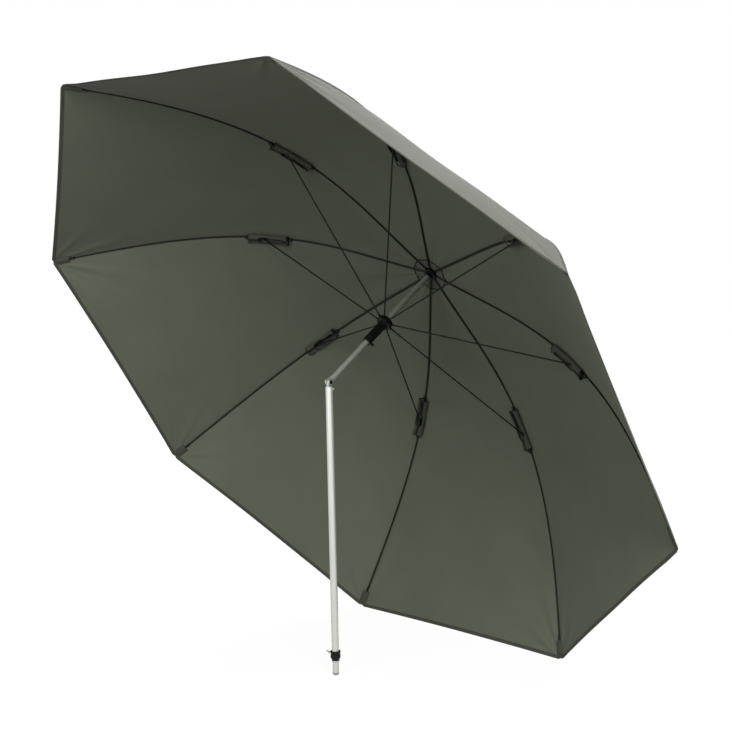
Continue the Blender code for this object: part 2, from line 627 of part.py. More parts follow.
# Rib with its bracket, stretcher, tip cap, guard pad and canopy section, each made once
def blade(start, end, radius, hole):
    return plate(link_outline(start, end, radius), BLADE_THICKNESS, [(start, hole)])


def make_rib_mesh():
    rod_start = HUB_RADIUS - PIVOT_RADIUS + HEAD_CLEARANCE
    last = on_rib(ROD_END_SHARE)
    bends = [on_rib(rod_start / RIB_RUN)] + STATIONS[1:-1] + [last]
    radii = [RIB_RADIUS + (RIB_END_RADIUS - RIB_RADIUS) * p.x / last.x for p in bends]
    rib = bent_rod(bends, radii)
    grip = on_rib((rod_start + BLADE_GRIP) / RIB_RUN)
    eye = blade((0, 0), grip, RIB_EYE_RADIUS, RING_WIRE_RADIUS + RUNNING_GAP)

    cheek_start = BRACKET_PLACE.lerp(JOINT, CHEEK_START_SHARE)
    near = BRACKET_PLACE - BRACKET_WAY * BRACKET_LENGTH / 2
    far = BRACKET_PLACE + BRACKET_WAY * BRACKET_LENGTH / 2
    clasp = rod(BRACKET_RADIUS, (near.x, 0, near.y), (far.x, 0, far.y))
    cheek_place = BLADE_THICKNESS / 2 + RUNNING_GAP + CHEEK_THICKNESS / 2
    cheeks = []
    for side in (-1, 1):
        cheek = plate(link_outline(cheek_start, JOINT, CHEEK_RADIUS), CHEEK_THICKNESS)
        cheeks.append(moved(cheek, Matrix.Translation((0, side * cheek_place, 0))))
    pin = rod(JOINT_PIN_RADIUS, (JOINT.x, -cheek_place, JOINT.y), (JOINT.x, cheek_place, JOINT.y))
    return mesh_alone(baked(joined(rib, eye, clasp, *cheeks, pin)))


def make_stretcher_mesh():
    """Along +X, from the joint pin to the runner's ring."""
    rod_start = CHEEK_RADIUS + HEAD_CLEARANCE
    rod_end = STRETCHER_LENGTH - (RUNNER_RADIUS - PIVOT_RADIUS + HEAD_CLEARANCE)
    stretcher = bent_rod([(rod_start, 0), (rod_end, 0)], [STRETCHER_RADIUS] * 2)
    outer = blade((0, 0), (rod_start + BLADE_GRIP, 0), STRETCHER_EYE_RADIUS, JOINT_PIN_RADIUS + RUNNING_GAP)
    inner = blade((STRETCHER_LENGTH, 0), (rod_end - BLADE_GRIP, 0), LOOSE_EYE_RADIUS,
                  RING_WIRE_RADIUS + OPEN_PIVOT_GAP)
    return mesh_alone(baked(joined(stretcher, outer, inner)))


def make_tip_mesh():
    start, end, rod_end = (on_rib(s) for s in (TIP_START_SHARE, TIP_END_SHARE, ROD_END_SHARE))
    long = (end - start).length
    deep = long - (rod_end - start).length - RUNNING_GAP
    bore = RIB_END_RADIUS + (RIB_RADIUS - RIB_END_RADIUS) * (1 - start.x / rod_end.x) + RUNNING_GAP
    tip = turned([
        (0, 0), (TIP_NOSE_RADIUS * TIP_FACE_SHARES[0], 0), (TIP_NOSE_RADIUS, TIP_NOSE_RADIUS * TIP_FACE_SHARES[1]),
        (TIP_NOSE_RADIUS, long * (1 - TIP_RING_SHARE)), (TIP_RADIUS, long * (1 - TIP_RING_SHARE / 2)),
        (TIP_RADIUS, long), (bore, long), (bore, deep), (0, deep)][::-1], SMALL_STEPS)
    run = Vector((end.x - start.x, 0, end.y - start.y))
    aim = Vector((0, 0, -1)).rotation_difference(run).to_matrix().to_4x4()
    return mesh_alone(moved(tip, Matrix.Translation((end.x, 0, end.y)) @ aim))


def make_pad_mesh():
    """A sleeve folded over the rib and its bracket, open below and at both ends."""
    rows = []
    for index in range(PAD_START_STATION, PAD_END_STATION + 1):
        ridge = raised(index, PAD_OFFSET)
        shoulder = raised(index, PAD_OFFSET - PAD_HALF_WIDTH * PAD_ROOF_SHARE)
        hem = raised(index, -PAD_DEPTH)
        side = PAD_HALF_WIDTH
        row = [(hem, side), (shoulder, side), (ridge, 0), (shoulder, -side), (hem, -side)]
        rows.append([(p.x, y, p.y) for p, y in row])
    return mesh_alone(shell(rows, PAD_THICKNESS))


def canopy_point(index, across):
    """A point of the canopy's inner face: a chord from the rib to mid panel, drawn in by the sag."""
    way = abs(across)
    curve = 1 - (1 - way) ** 2
    place = raised(index, CANOPY_OFFSET)
    if index == len(STATIONS) - 1:
        before = raised(index - 1, CANOPY_OFFSET)
        trim = SCALLOP_SHARE * RIM_RADIUS * curve / (place.x - before.x)
        place = place.lerp(before, trim)
    radius = PIVOT_RADIUS + place.x
    sag = SAG_SHARE * radius * curve * min(1, index / 2)
    middle = radius * cos(HALF_PANEL)
    along = Vector((cos(HALF_PANEL), sin(HALF_PANEL), 0))
    chord = Vector((sin(HALF_PANEL), -cos(HALF_PANEL), 0))
    point = Vector((radius, 0, 0)).lerp(along * middle, way)
    point += chord * (CANOPY_EDGE_GAP / 2) * way
    slope = STATIONS[index] - STATIONS[max(index - 1, 0)] if index else STATIONS[1] - STATIONS[0]
    normal = Vector((-slope.y, slope.x)).normalized()
    point -= (along * normal.x + Vector((0, 0, normal.y))) * sag
    side = 1 if across > 0 else -1
    return (point.x - PIVOT_RADIUS, side * point.y, place.y + point.z)


def make_canopy_mesh():
    across = [-share for share in ACROSS_SHARES[:0:-1]] + list(ACROSS_SHARES)
    rows = [[canopy_point(index, share) for share in reversed(across)] for index in range(len(STATIONS))]
    return mesh_alone(shell(rows, CANOPY_THICKNESS))


def make_rib_sets(hub):
    rib, stretcher, tip = make_rib_mesh(), make_stretcher_mesh(), make_tip_mesh()
    pad, canopy = make_pad_mesh(), make_canopy_mesh()
    lean = atan2(STRETCHER_RISE, -JOINT.x)
    for i in range(RIB_COUNT):
        azimuth = HALF_PANEL + 2 * HALF_PANEL * i
        pivot = (PIVOT_RADIUS * cos(azimuth), PIVOT_RADIUS * sin(azimuth), 0)
        frame = add_empty(f"rib_pivot_{i + 1}", hub, pivot, (0, 0, azimuth))
        for name, mesh, material in (
                ("rib", rib, BLACK_ROD), ("tip_cap", tip, BLACK_PLASTIC), ("guard_pad", pad, PAD_FABRIC),
                ("canopy_section", canopy, CANOPY_FABRIC)):
            finish(add_object(name, mesh), f"{name}_{i + 1}", material, frame)
        joint = (JOINT.x, 0, JOINT.y)
        finish(add_object("stretcher", stretcher), f"stretcher_{i + 1}", BLACK_ROD, frame, joint, (0, lean, 0))


make_ground_parts()
make_lower_pole()
elbow_frame = add_empty("elbow_axis", None, (0, 0, ELBOW_HEIGHT), (-TILT, 0, 0))
hub_frame = add_empty("hub_axis", elbow_frame, (0, 0, HUB_HEIGHT))
runner_frame = add_empty("runner_axis", hub_frame, (0, 0, -RUNNER_DROP))
make_elbow(elbow_frame)
make_mast_parts(elbow_frame, hub_frame)
make_runner(runner_frame)
make_rib_sets(hub_frame)
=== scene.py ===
# An open fishing umbrella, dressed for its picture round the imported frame
import json
from math import asin, cos, hypot, pi, radians, sin, tan

import bmesh
import bpy
import numpy as np
from mathutils import Matrix, Vector

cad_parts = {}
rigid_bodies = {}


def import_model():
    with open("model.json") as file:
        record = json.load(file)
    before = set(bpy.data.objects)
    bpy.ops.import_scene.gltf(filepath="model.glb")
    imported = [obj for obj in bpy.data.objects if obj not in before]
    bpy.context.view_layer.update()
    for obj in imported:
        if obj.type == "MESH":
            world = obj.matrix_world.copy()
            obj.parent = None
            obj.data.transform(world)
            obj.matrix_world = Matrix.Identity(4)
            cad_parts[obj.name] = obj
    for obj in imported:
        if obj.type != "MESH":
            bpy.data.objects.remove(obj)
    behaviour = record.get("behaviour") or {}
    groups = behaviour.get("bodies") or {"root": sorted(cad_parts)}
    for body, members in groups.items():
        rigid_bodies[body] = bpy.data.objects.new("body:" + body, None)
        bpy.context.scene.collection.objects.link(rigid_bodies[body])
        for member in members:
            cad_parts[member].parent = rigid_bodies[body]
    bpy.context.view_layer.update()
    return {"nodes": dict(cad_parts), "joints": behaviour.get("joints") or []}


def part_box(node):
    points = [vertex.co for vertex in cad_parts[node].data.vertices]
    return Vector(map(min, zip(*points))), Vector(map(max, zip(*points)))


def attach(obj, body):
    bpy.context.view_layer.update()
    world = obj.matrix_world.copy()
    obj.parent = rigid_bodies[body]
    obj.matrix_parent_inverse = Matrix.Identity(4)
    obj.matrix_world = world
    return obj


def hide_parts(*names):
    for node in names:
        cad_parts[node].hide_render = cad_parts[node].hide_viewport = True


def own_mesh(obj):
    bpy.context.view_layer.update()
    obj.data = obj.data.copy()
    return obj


for leftover in list(bpy.data.objects):
    bpy.data.objects.remove(leftover, do_unlink=True)
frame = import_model()
print("frame loaded,", len(frame["nodes"]), "nodes")


# Frames of the moving parts, read from the joints
def jointNamed(name):
    return next(joint for joint in frame["joints"] if joint["name"] == name)


def frameAt(origin, yAxis, zAxis):
    y = Vector(yAxis).normalized()
    z = Vector(zAxis).normalized()
    turn = Matrix((y.cross(z), y, z)).transposed().to_4x4()
    return shift(origin) @ turn


def turned(angle, axis):
    return Matrix.Rotation(angle, 4, axis)


shift = Matrix.Translation
quarterX, quarterY, quarterZ = (turned(pi / 2, axis) for axis in "XYZ")
panelCount = 8
halfPanel = pi / panelCount
mastUp = -Vector(jointNamed("runner_slide")["axis"])
tiltAxis = Vector(jointNamed("mast_tilt")["axis"])
elbowPlace = Vector(jointNamed("mast_tilt")["pos_m"])
runnerPlace = Vector(jointNamed("runner_slide")["pos_m"])
ribHinges = [jointNamed(f"rib_hinge_{i + 1}") for i in range(panelCount)]
ribFrames = [frameAt(joint["pos_m"], joint["axis"], mastUp) for joint in ribHinges]
hubPlace = sum((Vector(joint["pos_m"]) for joint in ribHinges), Vector()) / panelCount
pivotRadius = (Vector(ribHinges[0]["pos_m"]) - hubPlace).length
elbowFrame, hubFrame, runnerFrame = (
    frameAt(place, mastUp.cross(tiltAxis), mastUp) for place in (elbowPlace, hubPlace, runnerPlace))
jointPin = ribFrames[0].inverted() @ Vector(jointNamed("stretcher_hinge_1")["pos_m"])
runnerDrop = (hubPlace - runnerPlace).length

# Studio: the picture's camera, a white room and soft light from above
studio = {
    "cameraPlace": (3.2647, -3.1351, 1.6129),
    "heading": radians(134.556),
    "pitch": radians(-6.732),
    "roll": radians(-1.194),
    "lens": 66.22,
    "clipEnd": 60,
    "worldLight": 0.075,
    "floorColour": (0.13, 0.13, 0.127),
    "floorRoughness": 0.9,
    "floorReach": 30,
    "floorGlow": 0.93,       # under the umbrella, where a faint shadow shows
    "glowReach": (1.5, 5.0),  # between these distances the glow rises to full white
    "aim": (0.0, 0.35, 1.1),
    "softboxes": (
        ("keySoftbox", (3.67, -1.93, 2.67), 1.6, 112),
        ("fillSoftbox", (0.63, -4.05, 2.29), 3.0, 76),
        ("topSoftbox", (3.18, -0.32, 4.35), 3.0, 60),
        ("backSoftbox", (-3.4, 4.2, 3.4), 3.5, 170),
    ),
}


def linked(name, data):
    thing = bpy.data.objects.new(name, data)
    bpy.context.scene.collection.objects.link(thing)
    return thing


def makeCamera():
    heading, pitch = studio["heading"], studio["pitch"]
    forward = Vector((cos(heading) * cos(pitch), sin(heading) * cos(pitch), sin(pitch)))
    data = bpy.data.cameras.new("pictureCamera")
    data.lens = studio["lens"]
    data.clip_end = studio["clipEnd"]
    camera = linked("pictureCamera", data)
    aim = forward.to_track_quat("-Z", "Y").to_matrix().to_4x4()
    camera.matrix_world = shift(studio["cameraPlace"]) @ aim @ turned(studio["roll"], "Z")
    bpy.context.scene.camera = camera


def makeSoftbox(name, place, size, power):
    data = bpy.data.lights.new(name, "AREA")
    data.shape = "DISK"
    data.size = size
    data.energy = power
    lamp = linked(name, data)
    way = Vector(studio["aim"]) - Vector(place)
    lamp.matrix_world = shift(place) @ way.to_track_quat("-Z", "Y").to_matrix().to_4x4()
    lamp.visible_camera = False


# Node shorthand
def feed(tree, node, values):
    # Links or sets each named input of a node
    for socket, value in values.items():
        if isinstance(value, bpy.types.NodeSocket):
            tree.links.new(value, node.inputs[socket])
        else:
            node.inputs[socket].default_value = value
    return node


def addNode(tree, kind, values=None, **settings):
    node = tree.nodes.new(kind)
    for name, value in settings.items():
        setattr(node, name, value)
    return feed(tree, node, values or {})


def calc(tree, operation, *values):
    return addNode(tree, "ShaderNodeMath", dict(enumerate(values)), operation=operation).outputs[0]


def mapped(tree, value, fromRange, toRange):
    return addNode(tree, "ShaderNodeMapRange", {
        "Value": value, "From Min": fromRange[0], "From Max": fromRange[1], "To Min": toRange[0],
        "To Max": toRange[1]}).outputs[0]


def noise(tree, place, scale, detail):
    values = {"Vector": place, "Scale": scale, "Detail": detail}
    return addNode(tree, "ShaderNodeTexNoise", values).outputs["Fac"]


def newMaterial(name):
    material = bpy.data.materials.new(name)
    material.use_nodes = True
    tree = material.node_tree
    return material, tree, tree.nodes["Principled BSDF"]


def newGroup(name, kind, inputs, outputs):
    # An input is given by its number, or by its kind of socket where it has none
    group = bpy.data.node_groups.new(name, kind)
    for label, start in inputs.items():
        socketKind = start if isinstance(start, str) else {float: "Float", int: "Int"}[type(start)]
        socket = group.interface.new_socket(label, in_out="INPUT", socket_type="NodeSocket" + socketKind)
        if start != socketKind:
            socket.default_value = start
    for label, socketKind in outputs.items():
        group.interface.new_socket(label, in_out="OUTPUT", socket_type="NodeSocket" + socketKind)
    return group, group.nodes.new("NodeGroupInput").outputs, group.nodes.new("NodeGroupOutput")


def placeGroup(tree, group, values):
    return addNode(tree, "ShaderNodeGroup", values, node_tree=group).outputs


def seenDirectly(tree):
    light = addNode(tree, "ShaderNodeLightPath").outputs
    seen = calc(tree, "MAXIMUM", light["Is Camera Ray"], light["Is Glossy Ray"])
    return calc(tree, "MAXIMUM", seen, light["Is Transmission Ray"])


def makeRoom():
    world = bpy.data.worlds.new("whiteRoom")
    bpy.context.scene.world = world
    world.use_nodes = True
    tree = world.node_tree
    strength = mapped(tree, seenDirectly(tree), (0.0, 1.0), (studio["worldLight"], 1.0))
    feed(tree, tree.nodes["Background"], {"Strength": strength, "Color": (1, 1, 1, 1)})

    material, tree, shader = newMaterial("paleFloor")
    seen = seenDirectly(tree)
    place = addNode(tree, "ShaderNodeTexCoord").outputs["Object"]
    away = addNode(tree, "ShaderNodeVectorMath", {0: place}, operation="LENGTH").outputs["Value"]
    level = mapped(tree, away, studio["glowReach"], (studio["floorGlow"], 1.0))
    feed(tree, shader, {
        "Base Color": (*studio["floorColour"], 1), "Roughness": studio["floorRoughness"],
        "Specular IOR Level": 0.0, "Emission Color": (1, 1, 1, 1),
        "Emission Strength": mapped(tree, seen, (0.0, 1.0), (0.0, level))})
    mesh = bpy.data.meshes.new("floor")
    reach = studio["floorReach"]
    mesh.from_pydata([(-reach, -reach, 0), (reach, -reach, 0), (reach, reach, 0), (-reach, reach, 0)], [],
                     [(0, 1, 2, 3)])
    mesh.materials.append(material)
    floor = linked("floor", mesh)


makeCamera()
makeRoom()
for softbox in studio["softboxes"]:
    makeSoftbox(*softbox)
bpy.context.scene.view_settings.view_transform = "Standard"
print("studio ready")


# Shader groups that several finishes share
def makeWeave():
    group, inputs, output = newGroup("plainWeave", "ShaderNodeTree", {"Place": "Vector", "Yarn": 0.0006},
                                     {"Height": "Float", "Slub": "Float"})
    parts = addNode(group, "ShaderNodeSeparateXYZ", {0: inputs["Place"]}).outputs
    waves = []
    for part in (parts[0], parts[1]):
        turns = calc(group, "DIVIDE", calc(group, "MULTIPLY", part, pi), inputs["Yarn"])
        waves.append(calc(group, "SINE", turns))
    crossing = calc(group, "MULTIPLY", *waves)
    feed(group, output, {"Height": calc(group, "MULTIPLY_ADD", crossing, 0.5, 0.5),
                         "Slub": noise(group, inputs["Place"], 900.0, 2.0)})
    return group


def makeBroadChange():
    group, inputs, output = newGroup("broadChange", "ShaderNodeTree", {
        "Place": "Vector", "Scale": 4.0, "Low": 0.9, "High": 1.1}, {"Value": "Float"})
    cloud = noise(group, inputs["Place"], inputs["Scale"], 3.0)
    feed(group, output, {"Value": mapped(group, cloud, (0.3, 0.7), (inputs["Low"], inputs["High"]))})
    return group


def makeEdgeWear():
    group, inputs, output = newGroup("edgeWear", "ShaderNodeTree", {
        "Place": "Vector", "Scale": 300.0, "Amount": 0.5}, {"Mask": "Float"})
    edge = addNode(group, "ShaderNodeAttribute", attribute_name="edge").outputs["Fac"]
    rough = calc(group, "MULTIPLY", edge, noise(group, inputs["Place"], inputs["Scale"], 4.0))
    feed(group, output, {"Mask": mapped(group, rough, (0.32, 0.62), (0.0, inputs["Amount"]))})
    return group


def makeGrain():
    group, inputs, output = newGroup("mouldGrain", "ShaderNodeTree", {"Place": "Vector", "Scale": 2500.0},
                                     {"Height": "Float"})
    feed(group, output, {"Height": noise(group, inputs["Place"], inputs["Scale"], 2.0)})
    return group


plainWeave = makeWeave()
broadChange = makeBroadChange()
edgeWear = makeEdgeWear()
mouldGrain = makeGrain()


def scaledColour(tree, colour, factor):
    return addNode(tree, "ShaderNodeVectorMath", {0: colour, "Scale": factor}, operation="SCALE").outputs[0]


def changing(tree, place, scale, low, high):
    return placeGroup(tree, broadChange, {"Place": place, "Scale": scale, "Low": low, "High": high})["Value"]


def wearing(tree, place, scale, amount):
    return placeGroup(tree, edgeWear, {"Place": place, "Scale": scale, "Amount": amount})["Mask"]


def wornColour(tree, wear, colour, shade, worn):
    values = {0: wear, 6: scaledColour(tree, colour, shade), 7: (*worn, 1)}
    return addNode(tree, "ShaderNodeMix", values, data_type="RGBA").outputs[2]


def bumped(tree, height, distance, strength=1.0):
    values = {"Height": height, "Distance": distance, "Strength": strength}
    return addNode(tree, "ShaderNodeBump", values).outputs[0]


# Finishes. A cloud is a scale and the range of a broad change of shade, wear a scale and an amount
clothFinish = {
    # The outside is the same fabric as the inside, painted lighter: painted light from above on the outer face
    "outside": (0.170, 0.177, 0.149),
    "inside": (0.152, 0.165, 0.122),
    # The hem cloth is painted darker than the panels: painted shade of the inward-folded hem band
    "trim": (0.076, 0.080, 0.063),
    # Near black: on the crown cord it is painted shadow under the crown patch's edge, on the pad's edges the
    # tape's own colour
    "binding": (0.020, 0.022, 0.017),
    "seam": (0.120, 0.126, 0.101),
    "pocket": (0.082, 0.086, 0.068),
    "pad": (0.080, 0.085, 0.065),
    "cloud": (5.0, 0.95, 1.05),
    "yarn": 0.0006,
    "yarnDepth": 0.00005,
    "yarnShade": 0.10,
    "unevenRoughness": 0.12,
    "relief": 0.6,
    "sheen": 0.06,
    "sheenRoughness": 0.45,
    "specular": 0.20,
}
threadFinish = {"colour": (0.062, 0.066, 0.050), "cloud": (60.0, 0.8, 1.2), "twist": 700.0, "depth": 0.0001}
metalFinish = {
    "aluminium": (0.75, 0.765, 0.715),
    # The mast's aluminium is painted darker than the pole's: painted shade of the canopy over the mast
    "mast": (0.330, 0.350, 0.300),
    "worn": (0.93, 0.93, 0.92),
    "streak": (900.0, 6.0, 1.0),
    "streakShade": 0.05,
    "streakRoughness": 0.14,
    "streakDepth": 0.00002,
    "polish": 0.15,
    "cloud": (9.0, 0.97, 1.03),
    "wear": (500.0, 0.6),
}
wireFinish = {"colour": (0.60, 0.60, 0.58), "cloud": (120.0, 0.8, 1.1), "roughness": 0.3}
castFinish = {
    "colour": (0.58, 0.585, 0.56),
    "worn": (0.80, 0.80, 0.78),
    "roughness": 0.38,
    "grain": 1800.0,
    "wear": (400.0, 0.7),
    "cloud": (40.0, 0.92, 1.08),
    "metallic": 0.65,
    "specular": 0.5,
    "depth": 0.00006,
}
plasticFinish = {
    "colour": (0.0050, 0.0058, 0.0036),
    "worn": (0.026, 0.027, 0.022),
    "roughness": 0.42,
    "grain": 2200.0,
    "wear": (350.0, 0.6),
    "cloud": (30.0, 0.85, 1.15),
    "metallic": 0.0,
    "specular": 0.16,
    "depth": 0.00005,
}
rodFinish = dict(plasticFinish, roughness=0.45)
footFinish = dict(plasticFinish, colour=(0.46, 0.465, 0.45), worn=(0.56, 0.56, 0.54), roughness=0.5)


def makeCloth(name, colour, roughness, depthShare):
    material, tree, shader = newMaterial(name)
    place = addNode(tree, "ShaderNodeUVMap", uv_map="metres").outputs[0]
    weave = placeGroup(tree, plainWeave, {"Place": place, "Yarn": clothFinish["yarn"]})
    shade = changing(tree, place, *clothFinish["cloud"])
    for part in ("Height", "Slub"):
        level = clothFinish["yarnShade"]
        shade = calc(tree, "MULTIPLY", shade, calc(tree, "MULTIPLY_ADD", weave[part], level, 1 - level / 2))
    uneven = clothFinish["unevenRoughness"]
    feed(tree, shader, {
        "Base Color": scaledColour(tree, clothFinish[colour], shade),
        "Roughness": calc(tree, "MULTIPLY_ADD", weave["Slub"], uneven, roughness - uneven / 2),
        "Sheen Weight": clothFinish["sheen"], "Sheen Roughness": clothFinish["sheenRoughness"],
        "Specular IOR Level": clothFinish["specular"],
        "Normal": bumped(tree, weave["Height"], clothFinish["yarnDepth"] * depthShare, clothFinish["relief"])})
    return material


def makeThread():
    material, tree, shader = newMaterial("sewingThread")
    place = addNode(tree, "ShaderNodeTexCoord").outputs["Object"]
    shade = changing(tree, place, *threadFinish["cloud"])
    waves = {"Vector": place, "Scale": threadFinish["twist"], "Distortion": 1.0}
    twist = addNode(tree, "ShaderNodeTexWave", waves)
    feed(tree, shader, {
        "Base Color": scaledColour(tree, threadFinish["colour"], shade),
        "Roughness": calc(tree, "MULTIPLY_ADD", shade, 0.2, 0.5),
        "Normal": bumped(tree, twist.outputs["Fac"], threadFinish["depth"])})
    return material


def makeAnodised(name, colour, roughness, metallic):
    material, tree, shader = newMaterial(name)
    place = addNode(tree, "ShaderNodeUVMap", uv_map="metres").outputs[0]
    drawn = addNode(tree, "ShaderNodeMapping", {"Vector": place, "Scale": metalFinish["streak"]}).outputs[0]
    streaks = noise(tree, drawn, 1.0, 3.0)
    wear = wearing(tree, place, *metalFinish["wear"])
    level, uneven = metalFinish["streakShade"], metalFinish["streakRoughness"]
    shade = calc(tree, "MULTIPLY", changing(tree, place, *metalFinish["cloud"]),
                 calc(tree, "MULTIPLY_ADD", streaks, level, 1 - level / 2))
    rough = calc(tree, "MULTIPLY_ADD", streaks, uneven, roughness - uneven / 2)
    feed(tree, shader, {
        "Base Color": wornColour(tree, wear, metalFinish[colour], shade, metalFinish["worn"]),
        "Roughness": calc(tree, "SUBTRACT", rough, calc(tree, "MULTIPLY", wear, metalFinish["polish"])),
        "Metallic": metallic, "Normal": bumped(tree, streaks, metalFinish["streakDepth"])})
    return material


def makeWireMetal():
    material, tree, shader = newMaterial("springWire")
    place = addNode(tree, "ShaderNodeTexCoord").outputs["Object"]
    shade = changing(tree, place, *wireFinish["cloud"])
    feed(tree, shader, {
        "Base Color": scaledColour(tree, wireFinish["colour"], shade),
        "Roughness": calc(tree, "MULTIPLY", shade, wireFinish["roughness"]), "Metallic": 1.0})
    return material


def makeMoulded(name, finish):
    material, tree, shader = newMaterial(name)
    place = addNode(tree, "ShaderNodeTexCoord").outputs["Object"]
    grain = placeGroup(tree, mouldGrain, {"Place": place, "Scale": finish["grain"]})["Height"]
    wear = wearing(tree, place, *finish["wear"])
    shade = changing(tree, place, *finish["cloud"])
    feed(tree, shader, {
        "Base Color": wornColour(tree, wear, finish["colour"], shade, finish["worn"]),
        "Roughness": calc(tree, "MULTIPLY_ADD", grain, 0.2, finish["roughness"] - 0.1),
        "Metallic": finish["metallic"], "Specular IOR Level": finish["specular"],
        "Normal": bumped(tree, grain, finish["depth"])})
    return material


clothOutsidePaintedLit = makeCloth("canopyClothOutsidePaintedLit", "outside", 0.78, 1.0)
clothInside = makeCloth("canopyClothCoatedInside", "inside", 0.70, 0.5)
trimCloth = makeCloth("canopyHemCloth", "trim", 0.82, 1.0)
seamCloth = makeCloth("canopySeamCloth", "seam", 0.80, 1.0)
pocketCloth = makeCloth("cornerPocketCloth", "pocket", 0.85, 1.3)
padCloth = makeCloth("guardPadCloth", "pad", 0.88, 1.6)
bindingAndShadowTape = makeCloth("darkBindingAndShadowTape", "binding", 0.85, 1.6)
thread = makeThread()
aluminium = makeAnodised("anodisedAluminium", "aluminium", 0.36, 0.35)
mastAluminiumPaintedShade = makeAnodised("aluminiumWithPaintedShade", "mast", 0.50, 0.25)
casting = makeMoulded("castGreyMetal", castFinish)
wireMetal = makeWireMetal()
blackPlastic = makeMoulded("mouldedBlackPlastic", plasticFinish)
blackRod = makeMoulded("satinBlackRod", rodFinish)
footPlastic = makeMoulded("greyFootPlastic", footFinish)
print("finishes ready")


# Mesh shorthand
def meshOf(points, faces, edge=None, uv=None):
    mesh = bpy.data.meshes.new("shape")
    mesh.from_pydata([tuple(map(float, point)) for point in points], [], faces)
    if uv is not None:
        mesh.uv_layers.new(name="metres").data.foreach_set("uv", np.asarray(uv, float).ravel())
    return addLayers(mesh, edge)


def addLayers(mesh, edge=None):
    if "metres" not in mesh.uv_layers:
        mesh.uv_layers.new(name="metres")
    worn = mesh.attributes.get("edge") or mesh.attributes.new("edge", "FLOAT", "POINT")
    if edge is not None:
        worn.data.foreach_set("value", np.asarray(edge, float))
    return mesh


def reshaped(mesh, change):
    shape = bmesh.new()
    shape.from_mesh(mesh)
    change(shape)
    shape.to_mesh(mesh)
    shape.free()
    return mesh


def outward(mesh):
    return reshaped(mesh, lambda shape: bmesh.ops.recalc_face_normals(shape, faces=shape.faces))


def secondMaterial(mesh):
    mesh.polygons.foreach_set("material_index", [1] * len(mesh.polygons))
    return mesh


def together(*meshes):
    shape = bmesh.new()
    for mesh in meshes:
        shape.from_mesh(mesh)
    whole = bpy.data.meshes.new("shape")
    shape.to_mesh(whole)
    shape.free()
    return whole


def placed(mesh, matrix):
    copy = mesh.copy()
    copy.transform(matrix)
    return copy


def softened(profile, fillet, closed=False, steps=4):
    # Rounds each corner and marks the middle of the round as an edge that wears
    points = [Vector(point) for point in profile]
    count = len(points)
    soft = []
    for i, point in enumerate(points):
        if not closed and i in (0, count - 1):
            soft.append((point.x, point.y, 0.0))
            continue
        before = points[i - 1] - point
        after = points[(i + 1) % count] - point
        reach = min(fillet, before.length * 0.45, after.length * 0.45)
        start = point + before.normalized() * reach
        end = point + after.normalized() * reach
        for k in range(steps + 1):
            t = k / steps
            place = start * (1 - t) ** 2 + point * 2 * t * (1 - t) + end * t ** 2
            soft.append((place.x, place.y, 1.0 if 0 < k < steps else 0.0))
    return soft


def fullTurn(steps):
    return [2 * pi * k / steps for k in range(steps)]


def lathe(profile, fillet=0.0006, steps=64):
    # A turned piece about Z. A profile that starts on the axis is solid, any other is a closed loop
    closed = profile[0][0] > 0
    soft = softened(profile, fillet, closed)
    points, rings, edge = [], [], []
    for radius, height, worn in soft:
        if radius < 1e-7:
            rings.append([len(points)] * steps)
            points.append((0, 0, height))
            edge.append(worn)
            continue
        rings.append(list(range(len(points), len(points) + steps)))
        points += [(radius * cos(angle), radius * sin(angle), height) for angle in fullTurn(steps)]
        edge += [worn] * steps
    width = 2 * pi * max(radius for radius, height, worn in soft) / steps
    pairs = list(zip(range(len(soft)), range(1, len(soft))))
    if closed:
        pairs.append((len(soft) - 1, 0))
    faces, uv = [], []
    for a, b in pairs:
        for k in range(steps):
            corners = [(rings[a][k], k, a), (rings[a][(k + 1) % steps], k + 1, a),
                       (rings[b][(k + 1) % steps], k + 1, b), (rings[b][k], k, b)]
            kept = [c for n, c in enumerate(corners) if c[0] != corners[n - 1][0]]
            if len(kept) < 3:
                continue
            faces.append([c[0] for c in kept])
            uv += [(c[1] * width, soft[c[2]][1] + soft[c[2]][0]) for c in kept]
    return outward(meshOf(points, faces, edge, uv))


def skin(rings):
    # A closed tube through rings of points, with flat ends
    rings = [[Vector(point) for point in ring] for ring in rings]
    around = len(rings[0])
    points = [point for ring in rings for point in ring]
    run = [0.0]
    for before, after in zip(rings, rings[1:]):
        run.append(run[-1] + (sum(after, Vector()) / around - sum(before, Vector()) / around).length)
    girth = [0.0]
    for k in range(around):
        girth.append(girth[-1] + (rings[0][(k + 1) % around] - rings[0][k]).length)
    faces, uv = [], []
    for r in range(len(rings) - 1):
        for k in range(around):
            nextK = (k + 1) % around
            faces.append((r * around + k, r * around + nextK, (r + 1) * around + nextK, (r + 1) * around + k))
            uv += [(girth[k], run[r]), (girth[k + 1], run[r]), (girth[k + 1], run[r + 1]), (girth[k], run[r + 1])]
    for first in (0, (len(rings) - 1) * around):
        faces.append(range(first, first + around))
        uv += [(0, 0)] * around
    return outward(meshOf(points, faces, None, uv))


def shapeMesh(thing):
    # What an object's modifiers make of it, as a plain mesh
    depsgraph = bpy.context.evaluated_depsgraph_get()
    mesh = bpy.data.meshes.new_from_object(thing.evaluated_get(depsgraph))
    bpy.data.objects.remove(thing, do_unlink=True)
    return mesh


def rodMesh(radius, low, high, fillet, steps):
    return lathe([(0, high), (radius, high), (radius, low), (0, low)], fillet, steps)


def mirrored(half):
    # A profile's upper half and the same below it
    return half + [(radius, -height) for radius, height in half[::-1]]


def arcPoints(centre, radius, start, end, steps=14):
    angles = [start + (end - start) * k / steps for k in range(steps + 1)]
    return [(centre[0] + radius * cos(a), centre[1] + radius * sin(a)) for a in angles]


